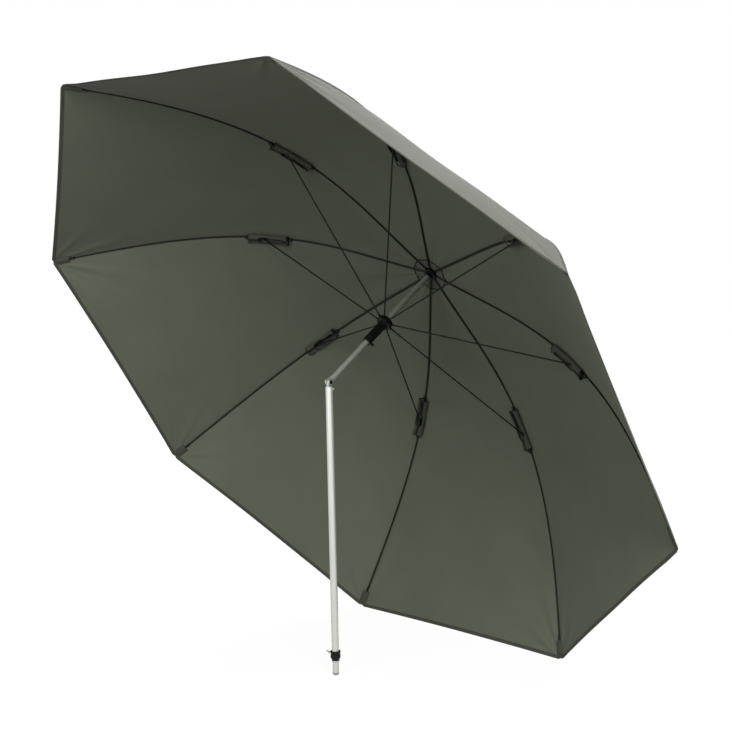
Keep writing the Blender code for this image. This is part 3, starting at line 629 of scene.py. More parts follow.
def linkOutline(start, end, radius, endRadius=None):
    lean = (Vector(end) - Vector(start)).angle_signed(Vector((1, 0))) if end != start else 0
    near = arcPoints(start, radius, lean + pi / 2, lean + 3 * pi / 2)
    return near + arcPoints(end, endRadius or radius, lean - pi / 2, lean + pi / 2)


def plate(outline, thickness, holes=(), rounding=0.0003):
    # A flat bar in X and Z with rounded edges, as thick along Y as given
    curve = bpy.data.curves.new("plate", "CURVE")
    curve.dimensions = "2D"
    curve.fill_mode = "BOTH"
    curve.extrude = thickness / 2 - rounding
    curve.bevel_depth = rounding
    curve.bevel_resolution = 2
    curve.offset = -rounding
    rounds = [arcPoints(centre, radius, 0, 2 * pi * 23 / 24, 23) for centre, radius in holes]
    for points in [outline] + rounds:
        spline = curve.splines.new("POLY")
        spline.points.add(len(points) - 1)
        for point, place in zip(spline.points, points):
            point.co = (*place, 0, 1)
        spline.use_cyclic_u = True
    mesh = shapeMesh(linked("plate", curve))
    reshaped(mesh, lambda shape: bmesh.ops.remove_doubles(shape, verts=shape.verts, dist=0.000005))
    mesh.materials.clear()
    mesh.transform(quarterX)
    while mesh.uv_layers:
        mesh.uv_layers.remove(mesh.uv_layers[0])
    return addLayers(mesh)


def cutBy(mesh, *cutters):
    thing = linked("cut", mesh)
    tools = [linked("cutter", cutter) for cutter in cutters]
    for tool in tools:
        modifier = thing.modifiers.new("Cut", "BOOLEAN")
        modifier.operation = "DIFFERENCE"
        modifier.object = tool
    result = shapeMesh(thing)
    for tool in tools:
        bpy.data.objects.remove(tool, do_unlink=True)
    return result


def addPiece(name, mesh, body, material, replaces=(), smoothAngle=35):
    mesh.name = name
    if material:
        for item in (material if isinstance(material, list) else [material]):
            mesh.materials.append(item)
    if smoothAngle is not None:
        mesh.shade_smooth()
        mesh.set_sharp_from_angle(angle=radians(smoothAngle))
    piece = linked(name, mesh)
    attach(piece, body)
    if replaces:
        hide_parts(*replaces)
    return piece


# Geometry Nodes trees for what repeats or follows a rule
def newGrowth(name, inputs):
    sockets = {"Geometry": "Geometry", **inputs, "Material": "Material"}
    return newGroup(name, "GeometryNodeTree", sockets, {"Geometry": "Geometry"})


def growth(tree, kind, values=None, **settings):
    return addNode(tree, "GeometryNode" + kind, values, **settings).outputs[0]


def vector(tree, **parts):
    return addNode(tree, "ShaderNodeCombineXYZ", parts).outputs[0]


def endGrowth(tree, inputs, output, geometry):
    plain = growth(tree, "RealizeInstances", {0: geometry})
    feed(tree, output, {0: growth(tree, "SetMaterial", {"Geometry": plain, "Material": inputs["Material"]})})
    return tree


def makeStitchTree():
    tree, inputs, output = newGrowth("runOfStitches", {"Pitch": 0.005, "Length": 0.0036, "Thickness": 0.0007})
    line = growth(tree, "MeshToCurve", {"Mesh": inputs["Geometry"]})
    points = addNode(tree, "GeometryNodeCurveToPoints", {"Curve": line, "Length": inputs["Pitch"]},
                     mode="LENGTH").outputs
    stitch = growth(tree, "MeshCylinder", {
        "Vertices": 5, "Radius": calc(tree, "MULTIPLY", inputs["Thickness"], 0.5), "Depth": inputs["Length"]})
    sewn = growth(tree, "InstanceOnPoints", {
        "Points": points["Points"], "Instance": stitch, "Rotation": points["Rotation"]})
    return endGrowth(tree, inputs, output, sewn)


def makeBentRodTree():
    drops = [f"Drop {k + 1}" for k in range(len(ribLine["dropShares"]))]
    tree, inputs, output = newGrowth("bentRod", {
        "Run": 1.0, "Dome": 0.5, "Start": 0.0, "End": 1.0, "Root Radius": 0.003, "End Radius": 0.002,
        **{name: 0.0 for name in drops}})
    line = growth(tree, "MeshLine", {"Count": ribLine["points"]})
    along = calc(tree, "DIVIDE", growth(tree, "InputIndex"), ribLine["points"] - 1.0)
    width = calc(tree, "SUBTRACT", inputs["End"], inputs["Start"])
    share = calc(tree, "ADD", inputs["Start"], calc(tree, "MULTIPLY", along, width))
    drop = calc(tree, "MULTIPLY", share, 0.0)
    for k, name in enumerate(drops):
        drop = calc(tree, "ADD", drop, calc(tree, "MULTIPLY", inputs[name], calc(tree, "POWER", share, k + 1.0)))
    fall = calc(tree, "MULTIPLY", calc(tree, "MULTIPLY", drop, inputs["Dome"]), -1.0)
    place = vector(tree, X=calc(tree, "MULTIPLY", share, inputs["Run"]), Z=fall)
    bent = growth(tree, "SetPosition", {"Geometry": line, "Position": place})
    curve = growth(tree, "MeshToCurve", {"Mesh": bent})
    taper = calc(tree, "MULTIPLY", calc(tree, "SUBTRACT", inputs["End Radius"], inputs["Root Radius"]), along)
    radius = calc(tree, "ADD", inputs["Root Radius"], taper)
    sized = growth(tree, "SetCurveRadius", {"Curve": curve, "Radius": radius})
    ring = growth(tree, "CurvePrimitiveCircle", {"Resolution": 20, "Radius": 1.0})
    tube = addNode(tree, "GeometryNodeCurveToMesh", {"Curve": sized, "Profile Curve": ring, "Fill Caps": True})
    if "Scale" in tube.inputs:
        feed(tree, tube, {"Scale": growth(tree, "InputRadius")})
    return endGrowth(tree, inputs, output, tube.outputs[0])


def makeSlotTree():
    tree, inputs, output = newGrowth("slotsRoundAHead", {
        "Count": 8, "Root Radius": 0.01, "Reach": 0.03, "Width": 0.004, "Height": 0.03})
    turn = calc(tree, "DIVIDE", 2 * pi, inputs["Count"])
    middle = calc(tree, "ADD", inputs["Root Radius"], calc(tree, "MULTIPLY", inputs["Reach"], 0.5))
    circle = growth(tree, "MeshCircle", {"Vertices": inputs["Count"], "Radius": middle})
    half = vector(tree, Z=calc(tree, "MULTIPLY", turn, 0.5))
    started = growth(tree, "Transform", {"Geometry": circle, "Rotation": half})
    order = growth(tree, "InputIndex")
    aim = vector(tree, Z=calc(tree, "MULTIPLY", calc(tree, "ADD", order, 0.5), turn))
    size = vector(tree, X=inputs["Reach"], Y=inputs["Width"], Z=inputs["Height"])
    cutters = growth(tree, "InstanceOnPoints", {
        "Points": started, "Instance": growth(tree, "MeshCube", {"Size": size}), "Rotation": aim})
    real = growth(tree, "RealizeInstances", {0: cutters})
    slotted = growth(tree, "MeshBoolean", {0: inputs["Geometry"], 1: real}, operation="DIFFERENCE", solver="EXACT")
    return endGrowth(tree, inputs, output, slotted)


def makeGripTree():
    tree, inputs, output = newGrowth("gripRidges", {
        "Count": 16, "Radius": 0.01, "Ridge": 0.001, "Height": 0.01, "Middle": 0.0})
    circle = growth(tree, "MeshCircle", {"Vertices": inputs["Count"], "Radius": inputs["Radius"]})
    ridge = growth(tree, "MeshCylinder", {"Vertices": 8, "Radius": inputs["Ridge"], "Depth": inputs["Height"]})
    ridges = growth(tree, "InstanceOnPoints", {"Points": circle, "Instance": ridge})
    raised = growth(tree, "Transform", {"Geometry": ridges, "Translation": vector(tree, Z=inputs["Middle"])})
    both = addNode(tree, "GeometryNodeJoinGeometry", {0: raised})
    feed(tree, both, {0: inputs["Geometry"]})
    return endGrowth(tree, inputs, output, both.outputs[0])


def grown(mesh, tree, material, values):
    # Runs a tree on a mesh and gives back the plain result
    seed = linked("seed", mesh)
    modifier = seed.modifiers.new("Growth", "NODES")
    modifier.node_group = tree
    chosen = dict(values, Material=material)
    for item in tree.interface.items_tree:
        if item.item_type == "SOCKET" and item.in_out == "INPUT" and item.name in chosen:
            modifier[item.identifier] = chosen[item.name]
    return shapeMesh(seed)


# The rib's line, in a frame at its pivot with X outwards and Z up the mast
ribLine = {
    "run": 1.2825,
    "dome": 0.657,
    "dropShares": (0.382, -1.102, 2.926, -1.206),
    "points": 120,
    "startShare": 0.0055,
    "endShare": 0.980,
    "rootRadius": 0.0032,
    "endRadius": 0.0023,
}
stitchTree = makeStitchTree()
bentRodTree = makeBentRodTree()
slotTree = makeSlotTree()
gripTree = makeGripTree()


def ribHeight(share):
    return -ribLine["dome"] * sum(part * share ** (k + 1) for k, part in enumerate(ribLine["dropShares"]))


def ribSlope(share):
    rise = sum(part * (k + 1) * share ** k for k, part in enumerate(ribLine["dropShares"]))
    return -ribLine["dome"] * rise / ribLine["run"]


def ribSpot(share):
    return Vector((ribLine["run"] * share, 0, ribHeight(share)))


# The cloth's surface, laid out by panel so that neighbouring sections meet exactly
cloth = {
    "lift": 0.0046,          # rib's middle to the inner face
    "thickness": 0.0005,
    "firstShare": 0.0078,
    "sagShare": 0.002,
    "ridgeDip": 0.0034,      # how far the cloth draws in beside each rib
    "ridgeReach": 0.020,
    "scallops": (0.0035, 0.0045, 0.0058, 0.0065, 0.0040, 0.0045, 0.0050, 0.0070),
    "cornerHalfWidth": 0.0125,
    "cornerFold": 0.0030,
    "cornerReach": 0.13,
    "cornerStart": (0.015, 0.10),  # the folds grow in between these distances from the corner
    "crownFold": 0.0009,
    "crownFoldRadius": 0.075,
    "crownFoldReach": 0.05,
    "pucker": 0.00025,
    "puckerReach": 0.018,
    "slack": 0.0022,
    "foldStretch": 1.13,     # arc per run over the outer half
    "rimStretch": 1.25,      # arc per run at the rim
    "meanStretch": 1.12,     # arc per run over the whole rib
    "meet": 0.00015,         # how far a section reaches over mid panel
    "cutAllowance": 1.03,    # a gore's cut width over its chord
    "keep": 0.970,
}


def smooth(low, high, value):
    t = np.clip((value - low) / (high - low), 0, 1)
    return t * t * (3 - 2 * t)


def underPlace(section, across):
    # The panel under a place across a section, and how far over that panel it lies
    panel = np.where(across >= 0, section, (section - 1) % panelCount)
    return panel, np.where(across >= 0, across / 2, 1 + across / 2)


def panelReach(share):
    # From the rib to mid panel, square to the rib
    return (pivotRadius + ribLine["run"] * share) * sin(halfPanel) * cos(halfPanel)


def clothRipple(panel, t, share, radius):
    # Folds of one panel, t from its first rib to its second, all nothing at the ribs
    width = radius * 2 * sin(halfPanel)
    near = np.minimum(t, 1 - t) * width
    byRib = 1 - smooth(0.28, 0.5, np.minimum(t, 1 - t))
    ripple = np.zeros_like(share)
    toRim = (1 - share) * ribLine["run"] * cloth["foldStretch"]
    for end, phase in ((0, 0.4 + 1.9 * panel), (1, 2.1 + 1.3 * panel)):
        side = (t if end == 0 else 1 - t) * width
        distance = np.hypot(side, toRim)
        angle = np.arctan2(side, toRim + 0.004)
        window = smooth(0.0, 0.016, side) * np.exp(-distance / cloth["cornerReach"])
        window = window * smooth(*cloth["cornerStart"], distance)
        fold = np.sin(9.0 * angle + phase) + 0.6 * np.sin(17.0 * angle + 2.3 * phase)
        ripple += cloth["cornerFold"] * window * fold
    ring = np.exp(-((radius - cloth["crownFoldRadius"]) / cloth["crownFoldReach"]) ** 2)
    ripple += cloth["crownFold"] * (ring * smooth(0.0, 0.012, near)) * np.sin(2 * pi * t * 4 + panel)
    seam = np.exp(-near / cloth["puckerReach"]) * smooth(0.0, 0.004, near) * byRib
    ripple += cloth["pucker"] * seam * np.sin(share * 150 + 1.7 * panel + 4 * t)
    pull = near / cloth["ridgeReach"] * np.exp(1 - near / cloth["ridgeReach"]) * byRib
    uneven = 0.65 + 0.35 * np.sin(9 * share + 2.3 * panel + 3.0 * np.round(t))
    ripple -= cloth["ridgeDip"] * pull * uneven * smooth(0.03, 0.2, share) * (1 - smooth(0.95, 0.99, share))
    wide = np.sin(pi * t) ** 2
    ripple += cloth["slack"] * wide * np.sin(5.3 * share + 1.1 * panel) * np.sin(2 * pi * t * 1.5 + 0.7 * panel)
    return ripple


def rimShare(section, across):
    # Where the rim's edge lies: drawn in at mid panel, and blunt at the corner
    panel, t = underPlace(section, across)
    scallop = np.array(cloth["scallops"])[panel] * 4 * t * (1 - t)
    lateral = np.abs(across) * (pivotRadius + ribLine["run"]) * sin(halfPanel) * cos(halfPanel)
    blunt = np.maximum(0, cloth["cornerHalfWidth"] - lateral) * tan(halfPanel)
    return 1 - (scallop + blunt) / (ribLine["run"] * cloth["rimStretch"])


def clothPoint(section, share, across, height):
    # A point of the cloth in its rib's frame, at a height outside the inner face
    slope = ribSlope(share)
    length = np.sqrt(1 + slope ** 2)
    lift = cloth["lift"]
    x = ribLine["run"] * share - slope / length * lift
    z = ribHeight(share) + lift / length
    radius = pivotRadius + x
    way = np.abs(across)
    panel, t = underPlace(section, across)
    middle = radius * cos(halfPanel)
    px = radius * (1 - way) + middle * cos(halfPanel) * way
    py = middle * sin(halfPanel) * way
    steep = slope / cos(halfPanel)
    steepLength = np.sqrt(1 + steep ** 2)
    sag = cloth["sagShare"] * radius * (1 - (1 - way) ** 2) * smooth(0, 0.10, share)
    push = clothRipple(panel, t, share, radius) - sag + height
    blend = smooth(0.0, 0.02, way)
    outX = -steep / steepLength * cos(halfPanel)
    outY = -steep / steepLength * sin(halfPanel)
    px = px + push * (outX * blend - slope / length * (1 - blend))
    py = py + push * outY * blend
    pz = z + push * (blend / steepLength + (1 - blend) / length)
    return np.stack([px - pivotRadius, np.sign(across) * py, pz], -1)


def faceHeight(side, height):
    # A height over the outer face (side 1) or the inner one (side -1), as clothPoint counts it
    return (cloth["thickness"] if side > 0 else 0.0) + side * height


def clothNormal(section, share, across):
    step = 0.0004
    side = np.where(across > 0, -1.0, 1.0) * step * 4
    alongRib = clothPoint(section, share + step, across, 0) - clothPoint(section, share - step, across, 0)
    beside = clothPoint(section, share, across + side, 0) - clothPoint(section, share, across, 0)
    normal = np.cross(alongRib, beside * np.sign(side)[..., None])
    normal[..., 1] = np.where(across == 0, 0, normal[..., 1])
    return normal / np.linalg.norm(normal, axis=-1, keepdims=True)


# Places across and rows along the cloth's grid, closest where it folds and where trim is sewn on
clothColumns = [0, 0.006, 0.012, 0.018, 0.025, 0.033, 0.042, 0.052, 0.064, 0.08, 0.10, 0.125, 0.15, 0.18, 0.21,
                0.25, 0.30, 0.35, 0.41, 0.47, 0.54, 0.61, 0.68, 0.76, 0.84, 0.92, 1]
acrossList = np.array([-share for share in clothColumns[:0:-1]] + clothColumns)
rowList = np.concatenate([np.linspace(cloth["firstShare"], 0.06, 9)[:-1], np.linspace(0.06, 0.84, 60)[:-1],
                          np.linspace(0.84, 0.97, 24)[:-1], np.linspace(0.97, 1.0, 13)])


def clothGrid(section):
    # Shares and places across for each point of a section's grid, fitted to its rim
    across = np.broadcast_to(acrossList, (len(rowList), len(acrossList)))
    first = cloth["firstShare"]
    return first + (rowList[:, None] - first) / (1 - first) * (rimShare(section, across) - first), across


def slabMesh(inner, outer, normals, uv, outerMaterial):
    # A closed sheet from two grids of points, with its edges in the outer face's material
    rows, wide = inner.shape[:2]
    count = rows * wide
    points = np.concatenate([inner.reshape(-1, 3), outer.reshape(-1, 3)])
    faces, kinds = [], []
    for r in range(rows - 1):
        for c in range(wide - 1):
            a, b, d, e = r * wide + c, r * wide + c + 1, (r + 1) * wide + c + 1, (r + 1) * wide + c
            faces.append((a, b, d, e))
            kinds.append(0)
            faces.append((a + count, e + count, d + count, b + count))
            kinds.append(outerMaterial)
    border = list(range(wide)) + [r * wide + wide - 1 for r in range(1, rows)]
    border += [(rows - 1) * wide + c for c in range(wide - 2, -1, -1)] + [r * wide for r in range(rows - 2, 0, -1)]
    for a, b in zip(border, border[1:] + border[:1]):
        faces.append((b, a, a + count, b + count))
        kinds.append(outerMaterial)
    flatUv = np.concatenate([uv.reshape(-1, 2)] * 2)
    mesh = bpy.data.meshes.new("sheet")
    mesh.from_pydata(points.tolist(), [], faces)
    loops = np.zeros(len(mesh.loops), int)
    mesh.loops.foreach_get("vertex_index", loops)
    mesh.uv_layers.new(name="metres").data.foreach_set("uv", flatUv[loops].ravel())
    mesh.polygons.foreach_set("material_index", kinds)
    mesh.shade_smooth()
    if normals is not None:
        both = np.concatenate([-normals.reshape(-1, 3), normals.reshape(-1, 3)])
        mesh.normals_split_custom_set_from_vertices(both.tolist())
    return mesh


def clothUv(share, points):
    return np.stack([points[..., 1], share * ribLine["run"] * cloth["meanStretch"]], -1)


def sectionMesh(section):
    share, across = clothGrid(section)
    inner = clothPoint(section, share, across, 0)
    outer = clothPoint(section, share, across, cloth["thickness"])
    chord = np.array([sin(halfPanel), -cos(halfPanel), 0])
    for grid in (inner, outer):
        grid[:, -1] -= chord * cloth["meet"]
        grid[:, 0] -= chord * np.array([1, -1, 1]) * cloth["meet"]
    return slabMesh(inner, outer, clothNormal(section, share, across), clothUv(share, inner), 1)


def patchMesh(section, share, lateral, side, heights, wall=None):
    # A piece of cloth sewn on one face, with heights over that face
    across = np.clip(lateral / panelReach(share), -1, 1)
    top = clothPoint(section, share, across, faceHeight(side, heights))
    under = np.maximum(heights - wall, trim["pocketGap"]) if wall else np.full_like(heights, -trim["sink"])
    low = clothPoint(section, share, across, faceHeight(side, under))
    inner, outer = (low, top) if side > 0 else (top, low)
    return slabMesh(inner, outer, None, clothUv(share, inner), 0)


def gridOf(shares, lines):
    # A grid with a row for each share and a column for each line
    return np.repeat(shares[:, None], len(lines), 1), np.repeat(lines[None, :], len(shares), 0)


trim = {
    "sink": 0.0001,          # how far sewn pieces reach into the cloth
    "seamHalfWidth": 0.0062,
    "seamHeight": 0.0006,
    "hemWidth": 0.0112,
    "hemHeight": 0.0008,
    "hemEdge": 0.0006,
    "hemStitch": 0.0090,
    "stitchInset": 0.0016,
    "stitchPitch": 0.0050,
    "stitchLength": 0.0036,
    "stitchThickness": 0.0007,
    "crownShare": 0.041,
    "crownCord": 0.0020,
    "pocketStart": 0.966,
    "pocketHalfWidth": 0.0170,
    "pocketPouch": 0.0105,
    "pocketHeight": 0.0100,
    "pocketWall": 0.0006,
    "pocketGap": 0.0002,
    "patchRise": 1.5,        # crown patch and pocket rim, in seam heights
    "pocketLines": (0, 0.12, 0.25, 0.34, 0.42, 0.5, 0.58, 0.7, 0.85, 0.97, 1),
}


def seamMesh(section, side):
    shares = np.linspace(0.012, 0.9935, 110)
    half = trim["seamHalfWidth"]
    lines = half * np.array([-1, -0.93, -0.4, 0, 0.4, 0.93, 1])
    narrow = np.clip((pivotRadius + ribLine["run"] * shares) * 0.30 / half, 0.2, 1.0)  # toward the crown
    share, lateral = gridOf(shares, lines)
    heights = np.broadcast_to(np.array([0, 1, 1.15, 1.2, 1.15, 1, 0]) * trim["seamHeight"], share.shape)
    return patchMesh(section, share, lateral * narrow[:, None], side, heights)


def crownMesh(section, side):
    end = trim["crownShare"]
    shares = np.append(np.linspace(cloth["firstShare"], end - 0.0004, 8), end)
    share, across = gridOf(shares, acrossList)
    heights = np.full(share.shape, trim["seamHeight"] * trim["patchRise"])
    heights[-1] = 0
    return patchMesh(section, share, across * panelReach(share), side, heights)


def crownCordAndShadowMesh(section):
    # The cord that binds the crown patch, on the inside, near black: painted shadow under the patch's loose edge
    wire = trim["crownCord"]
    rings = []
    for angle in fullTurn(8):
        share = np.full_like(acrossList, trim["crownShare"] + wire * cos(angle) / ribLine["run"])
        rings.append(clothPoint(section, share, acrossList, -wire * 0.8 + wire * sin(angle)))
    return skin(np.stack(rings, 1).tolist())


def pocketMesh(section):
    shares = np.linspace(trim["pocketStart"], 0.9966, 22)
    half, pouch = trim["pocketHalfWidth"], trim["pocketPouch"]
    lines = np.array([-line for line in trim["pocketLines"][:0:-1]] + list(trim["pocketLines"])) * half
    share, lateral = gridOf(shares, lines)
    along = (share - shares[0]) / (shares[-1] - shares[0])
    swell = trim["pocketHeight"] * (1 - smooth(0.62, 1.0, along) * 0.9)
    width = pouch * (1.25 - 0.25 * along)
    bulge = swell * np.clip(1 - (np.abs(lateral) / width) ** 2.4, 0, 1) ** 0.6
    flat = np.where(np.abs(lateral) > half * 0.98, 0.0003, trim["seamHeight"] * trim["patchRise"])
    heights = np.maximum(bulge, flat)
    heights[-1] = np.minimum(heights[-1], trim["seamHeight"])
    return patchMesh(section, share, lateral, -1, heights, trim["pocketWall"])


def hemMesh(section):
    # A folded band round the rim's edge, as a tube with one ring for each place across
    width, height, edge, thick = trim["hemWidth"], trim["hemHeight"], trim["hemEdge"], cloth["thickness"]
    loop = [(width, thick * 0.5), (width, thick), (width * 0.97, thick + height),
            (width * 0.5, thick + height * 1.1), (edge * 2, thick + height),
            (-edge * 0.7, thick * 0.5 + height * 0.7), (-edge, thick * 0.5),
            (-edge * 0.7, thick * 0.5 - height * 0.7), (edge * 2, -height), (width * 0.5, -height * 1.1),
            (width * 0.97, -height), (width, 0)]
    rings = [rimLine(section, inward, rise) for inward, rise in loop]
    return skin(np.stack(rings, 1).tolist())


def rimLine(section, inward, rise):
    share = rimShare(section, acrossList) - inward / (ribLine["run"] * cloth["rimStretch"])
    return clothPoint(section, share, acrossList, rise)


def ribsideLine(section, share, lateral, rise):
    return clothPoint(section, share, np.clip(lateral / panelReach(share), -1, 1), rise)


def stitchLines(section):
    inset = trim["stitchInset"]
    over = trim["seamHeight"] + trim["stitchThickness"] * 0.15
    lines = []
    seamShares = np.linspace(0.04, 0.955, 260)
    crown = np.full_like(acrossList, trim["crownShare"] - 0.0022)
    for side in (-1, 1):
        for edge in (-1, 1):
            lateral = edge * (trim["seamHalfWidth"] - inset)
            lines.append(ribsideLine(section, seamShares, lateral, faceHeight(side, over)))
        lines.append(rimLine(section, trim["hemStitch"], faceHeight(side, over)))
        rise = faceHeight(side, trim["seamHeight"] * trim["patchRise"] + 0.0001)
        lines.append(clothPoint(section, crown, acrossList, rise))
    pocketShares = np.linspace(trim["pocketStart"] + 0.002, 0.988, 12)
    for edge in (-1, 1):
        lateral = edge * (trim["pocketHalfWidth"] - inset)
        lines.append(ribsideLine(section, pocketShares, lateral, faceHeight(-1, over)))
    return lines


def lineMesh(lines):
    mesh = bpy.data.meshes.new("sewingLines")
    points, edges = [], []
    for line in lines:
        first = len(points)
        points += [tuple(map(float, point)) for point in line]
        edges += [(k, k + 1) for k in range(first, len(points) - 1)]
    mesh.from_pydata(points, edges, [])
    return mesh


stitchSizes = {"Pitch": trim["stitchPitch"], "Length": trim["stitchLength"], "Thickness": trim["stitchThickness"]}


def foldWithRunner(piece):
    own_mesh(piece)


def makeCanopy():
    for i in range(panelCount):
        body = f"rib_frame_{i + 1}"

        def sewn(name, mesh, material):
            return addPiece(f"{name}_{i + 1}", placed(mesh, ribFrames[i]), body, material, (), 60)

        sheet = addPiece(f"canopy_cloth_{i + 1}", placed(sectionMesh(i), ribFrames[i]), body,
                         [clothInside, clothOutsidePaintedLit], [f"canopy_section_{i + 1}"], None)
        seam = together(seamMesh(i, -1), seamMesh(i, 1), crownMesh(i, -1), crownMesh(i, 1))
        seams = sewn("canopy_seam", seam, seamCloth)
        hem = sewn("canopy_hem", together(hemMesh(i), secondMaterial(crownCordAndShadowMesh(i))), [trimCloth, bindingAndShadowTape])
        pocket = sewn("corner_pocket", pocketMesh(i), pocketCloth)
        stitches = sewn("canopy_stitches", grown(lineMesh(stitchLines(i)), stitchTree, thread, stitchSizes), None)
        for piece in (sheet, seams, hem, pocket, stitches):
            foldWithRunner(piece)
    print("canopy sewn")


makeCanopy()


# Ribs with their brackets, tips and guard pads, and the stretchers
fit = 0.0003                 # play between parts that slide or turn in each other
ribParts = {
    "eyeRadius": 0.0042,
    "bladeThickness": 0.0030,
    "wireHole": 0.0015,
    "claspRadius": 0.0037,
    "claspLength": 0.026,
    "cheekThickness": 0.0016,
    "cheekRadius": 0.0038,
    "pinRadius": 0.0015,
    "rivetHead": 0.0026,
    "armShare": 0.548,
    "armThickness": 0.0030,
    "knobSink": 0.0043,
    "knobShares": (0.4315, 0.5535),
    "knobRadii": (0.0066, 0.0072),
    "knobLengths": (0.013, 0.015),
    "tipStart": 0.953,
    "tipEnd": 0.988,
    "tipRadius": 0.0048,
    "tipNose": 0.0034,
}
stretcher = {
    "radius": 0.0026,
    "start": 0.0045,         # from the joint pin
    "end": 0.0135,           # from the runner's ring
    "eye": 0.0033,
    "pinHole": 0.0018,
    "looseEye": 0.0044,
    "hole": 0.0027,
    "flat": 0.0015,
    "press": 0.022,
}
pad = {
    "start": 0.436,
    "end": 0.549,
    "length": 0.162,
    "wrap": 0.0042,
    "depth": 0.0165,
    "spread": 0.0125,
    "flare": 0.0025,
    "wall": 0.0008,
    "uneven": (0.0012, 0.0010, 0.0005),  # of the spread, the depth and the cloth between
    "gap": 0.0012,
    "narrowSlit": 0.0062,
    "wideSlit": 0.0125,
    "slit": (0.04, 0.12, 0.40, 0.50, 0.68, 0.78),  # opens, widens, closes
}
jointRadius = 0.669          # of the brackets, from the mast
jointShare = (jointRadius - pivotRadius) / ribLine["run"]


def ribWay(share):
    return (ribSpot(share + 0.01) - ribSpot(share - 0.01)).normalized()


def alongWay(start, way):
    return shift(start) @ Vector((0, 0, 1)).rotation_difference(way).to_matrix().to_4x4()


def makeRibMesh():
    start, end = ribLine["startShare"], ribLine["endShare"]
    values = {"Run": ribLine["run"], "Dome": ribLine["dome"], "Start": start, "End": end,
              "Root Radius": ribLine["rootRadius"], "End Radius": ribLine["endRadius"]}
    values.update({f"Drop {k + 1}": part for k, part in enumerate(ribLine["dropShares"])})
    rod = addLayers(grown(bpy.data.meshes.new("seed"), bentRodTree, blackRod, values))
    grip = ribSpot(start + 0.012)
    eye = plate(linkOutline((0, 0), (grip.x, grip.z), ribParts["eyeRadius"], ribLine["rootRadius"] * 0.9),
                ribParts["bladeThickness"], [((0, 0), ribParts["wireHole"])])
    return together(rod, eye)


def makeBracketMesh():
    half, radius = ribParts["claspLength"] / 2, ribParts["claspRadius"]
    bore = ribLine["rootRadius"] * 0.8
    clasp = lathe(mirrored([(radius, half), (radius * 1.08, half * 0.9), (radius, half * 0.75)])
                  + [(bore, -half), (bore, half)], 0.0003, 32)
    clasp = placed(clasp, alongWay(ribSpot(jointShare), ribWay(jointShare)))
    cheekPlace = ribParts["bladeThickness"] / 2 + fit + ribParts["cheekThickness"] / 2
    start = ribSpot(jointShare).lerp(jointPin, 0.3)
    cheek = plate(linkOutline((start.x, start.z), (jointPin.x, jointPin.z), ribParts["cheekRadius"]),
                  ribParts["cheekThickness"])
    cheeks = [placed(cheek, shift((0, side * cheekPlace, 0))) for side in (-1, 1)]
    reach = cheekPlace + ribParts["cheekThickness"] / 2
    head, pin = ribParts["rivetHead"], ribParts["pinRadius"]
    rivet = lathe(mirrored([(0, reach + 0.0010), (head * 0.7, reach + 0.0008), (head, reach), (pin, reach)]),
                  0.0003, 24)
    rivet = placed(rivet, shift(jointPin) @ quarterX)
    arm = plate(linkOutline((jointPin.x, jointPin.z), tuple(ribSpot(ribParts["armShare"]).xz),
                            ribParts["cheekRadius"] * 1.15, ribParts["cheekRadius"]), ribParts["armThickness"])
    knobs = []
    for share, wide, long in zip(ribParts["knobShares"], ribParts["knobRadii"], ribParts["knobLengths"]):
        way = ribWay(share)
        high = long / 2
        knob = lathe(mirrored([(wide * 0.8, high), (wide, high * 0.5)])
                     + [(bore, -high), (bore, high)], 0.0004, 24)
        inward = Vector((way.z, 0, -way.x)) * (wide - ribParts["knobSink"])
        knobs.append(placed(knob, alongWay(ribSpot(share) + inward, way)))
    return together(clasp, *cheeks, rivet, arm, *knobs)


def makeTipMesh():
    start, end = ribSpot(ribParts["tipStart"]), ribSpot(ribParts["tipEnd"])
    long = (end - start).length
    nose, mouth = ribParts["tipNose"], ribParts["tipRadius"]
    tip = lathe([(0, long), (nose * 0.8, long), (nose, long - 0.003), (nose, long * 0.32),
                 (mouth * 0.92, long * 0.24), (mouth * 0.92, long * 0.16), (mouth, long * 0.13), (mouth, 0),
                 (0.0024, 0), (0.0024, 0.004), (0, 0.004)], 0.0006, 32)
    return placed(tip, alongWay(start, (end - start).normalized()))


def makeStretcherMesh():
    # Along +X from the joint pin to the runner's ring, round in the middle and pressed flat at its ends
    long = hypot(jointPin.x, runnerDrop + jointPin.z)
    press, radius, flat = stretcher["press"], stretcher["radius"], stretcher["flat"]
    outer, inner = stretcher["start"], long - stretcher["end"]
    rings = []
    stops = [outer + press * k / 8 for k in range(9)] + [inner - press * k / 8 for k in range(8, -1, -1)]
    for x in stops:
        near = min(x - outer, inner - x) / press
        ease = float(smooth(0, 1, near))
        tall = radius * ease + (1 - ease) * stretcher["eye"] * 0.92
        thick = radius * ease + (1 - ease) * flat
        rings.append([(x, thick * cos(angle), tall * sin(angle)) for angle in fullTurn(20)])
    rod = skin(rings)
    outerEye = plate(linkOutline((0, 0), (outer + 0.006, 0), stretcher["eye"]), flat * 2,
                     [((0, 0), stretcher["pinHole"])])
    innerEye = plate(linkOutline((inner - 0.004, 0), (long, 0), stretcher["eye"], stretcher["looseEye"]),
                     flat * 2, [((long, 0), stretcher["hole"])])
    return together(rod, outerEye, innerEye)


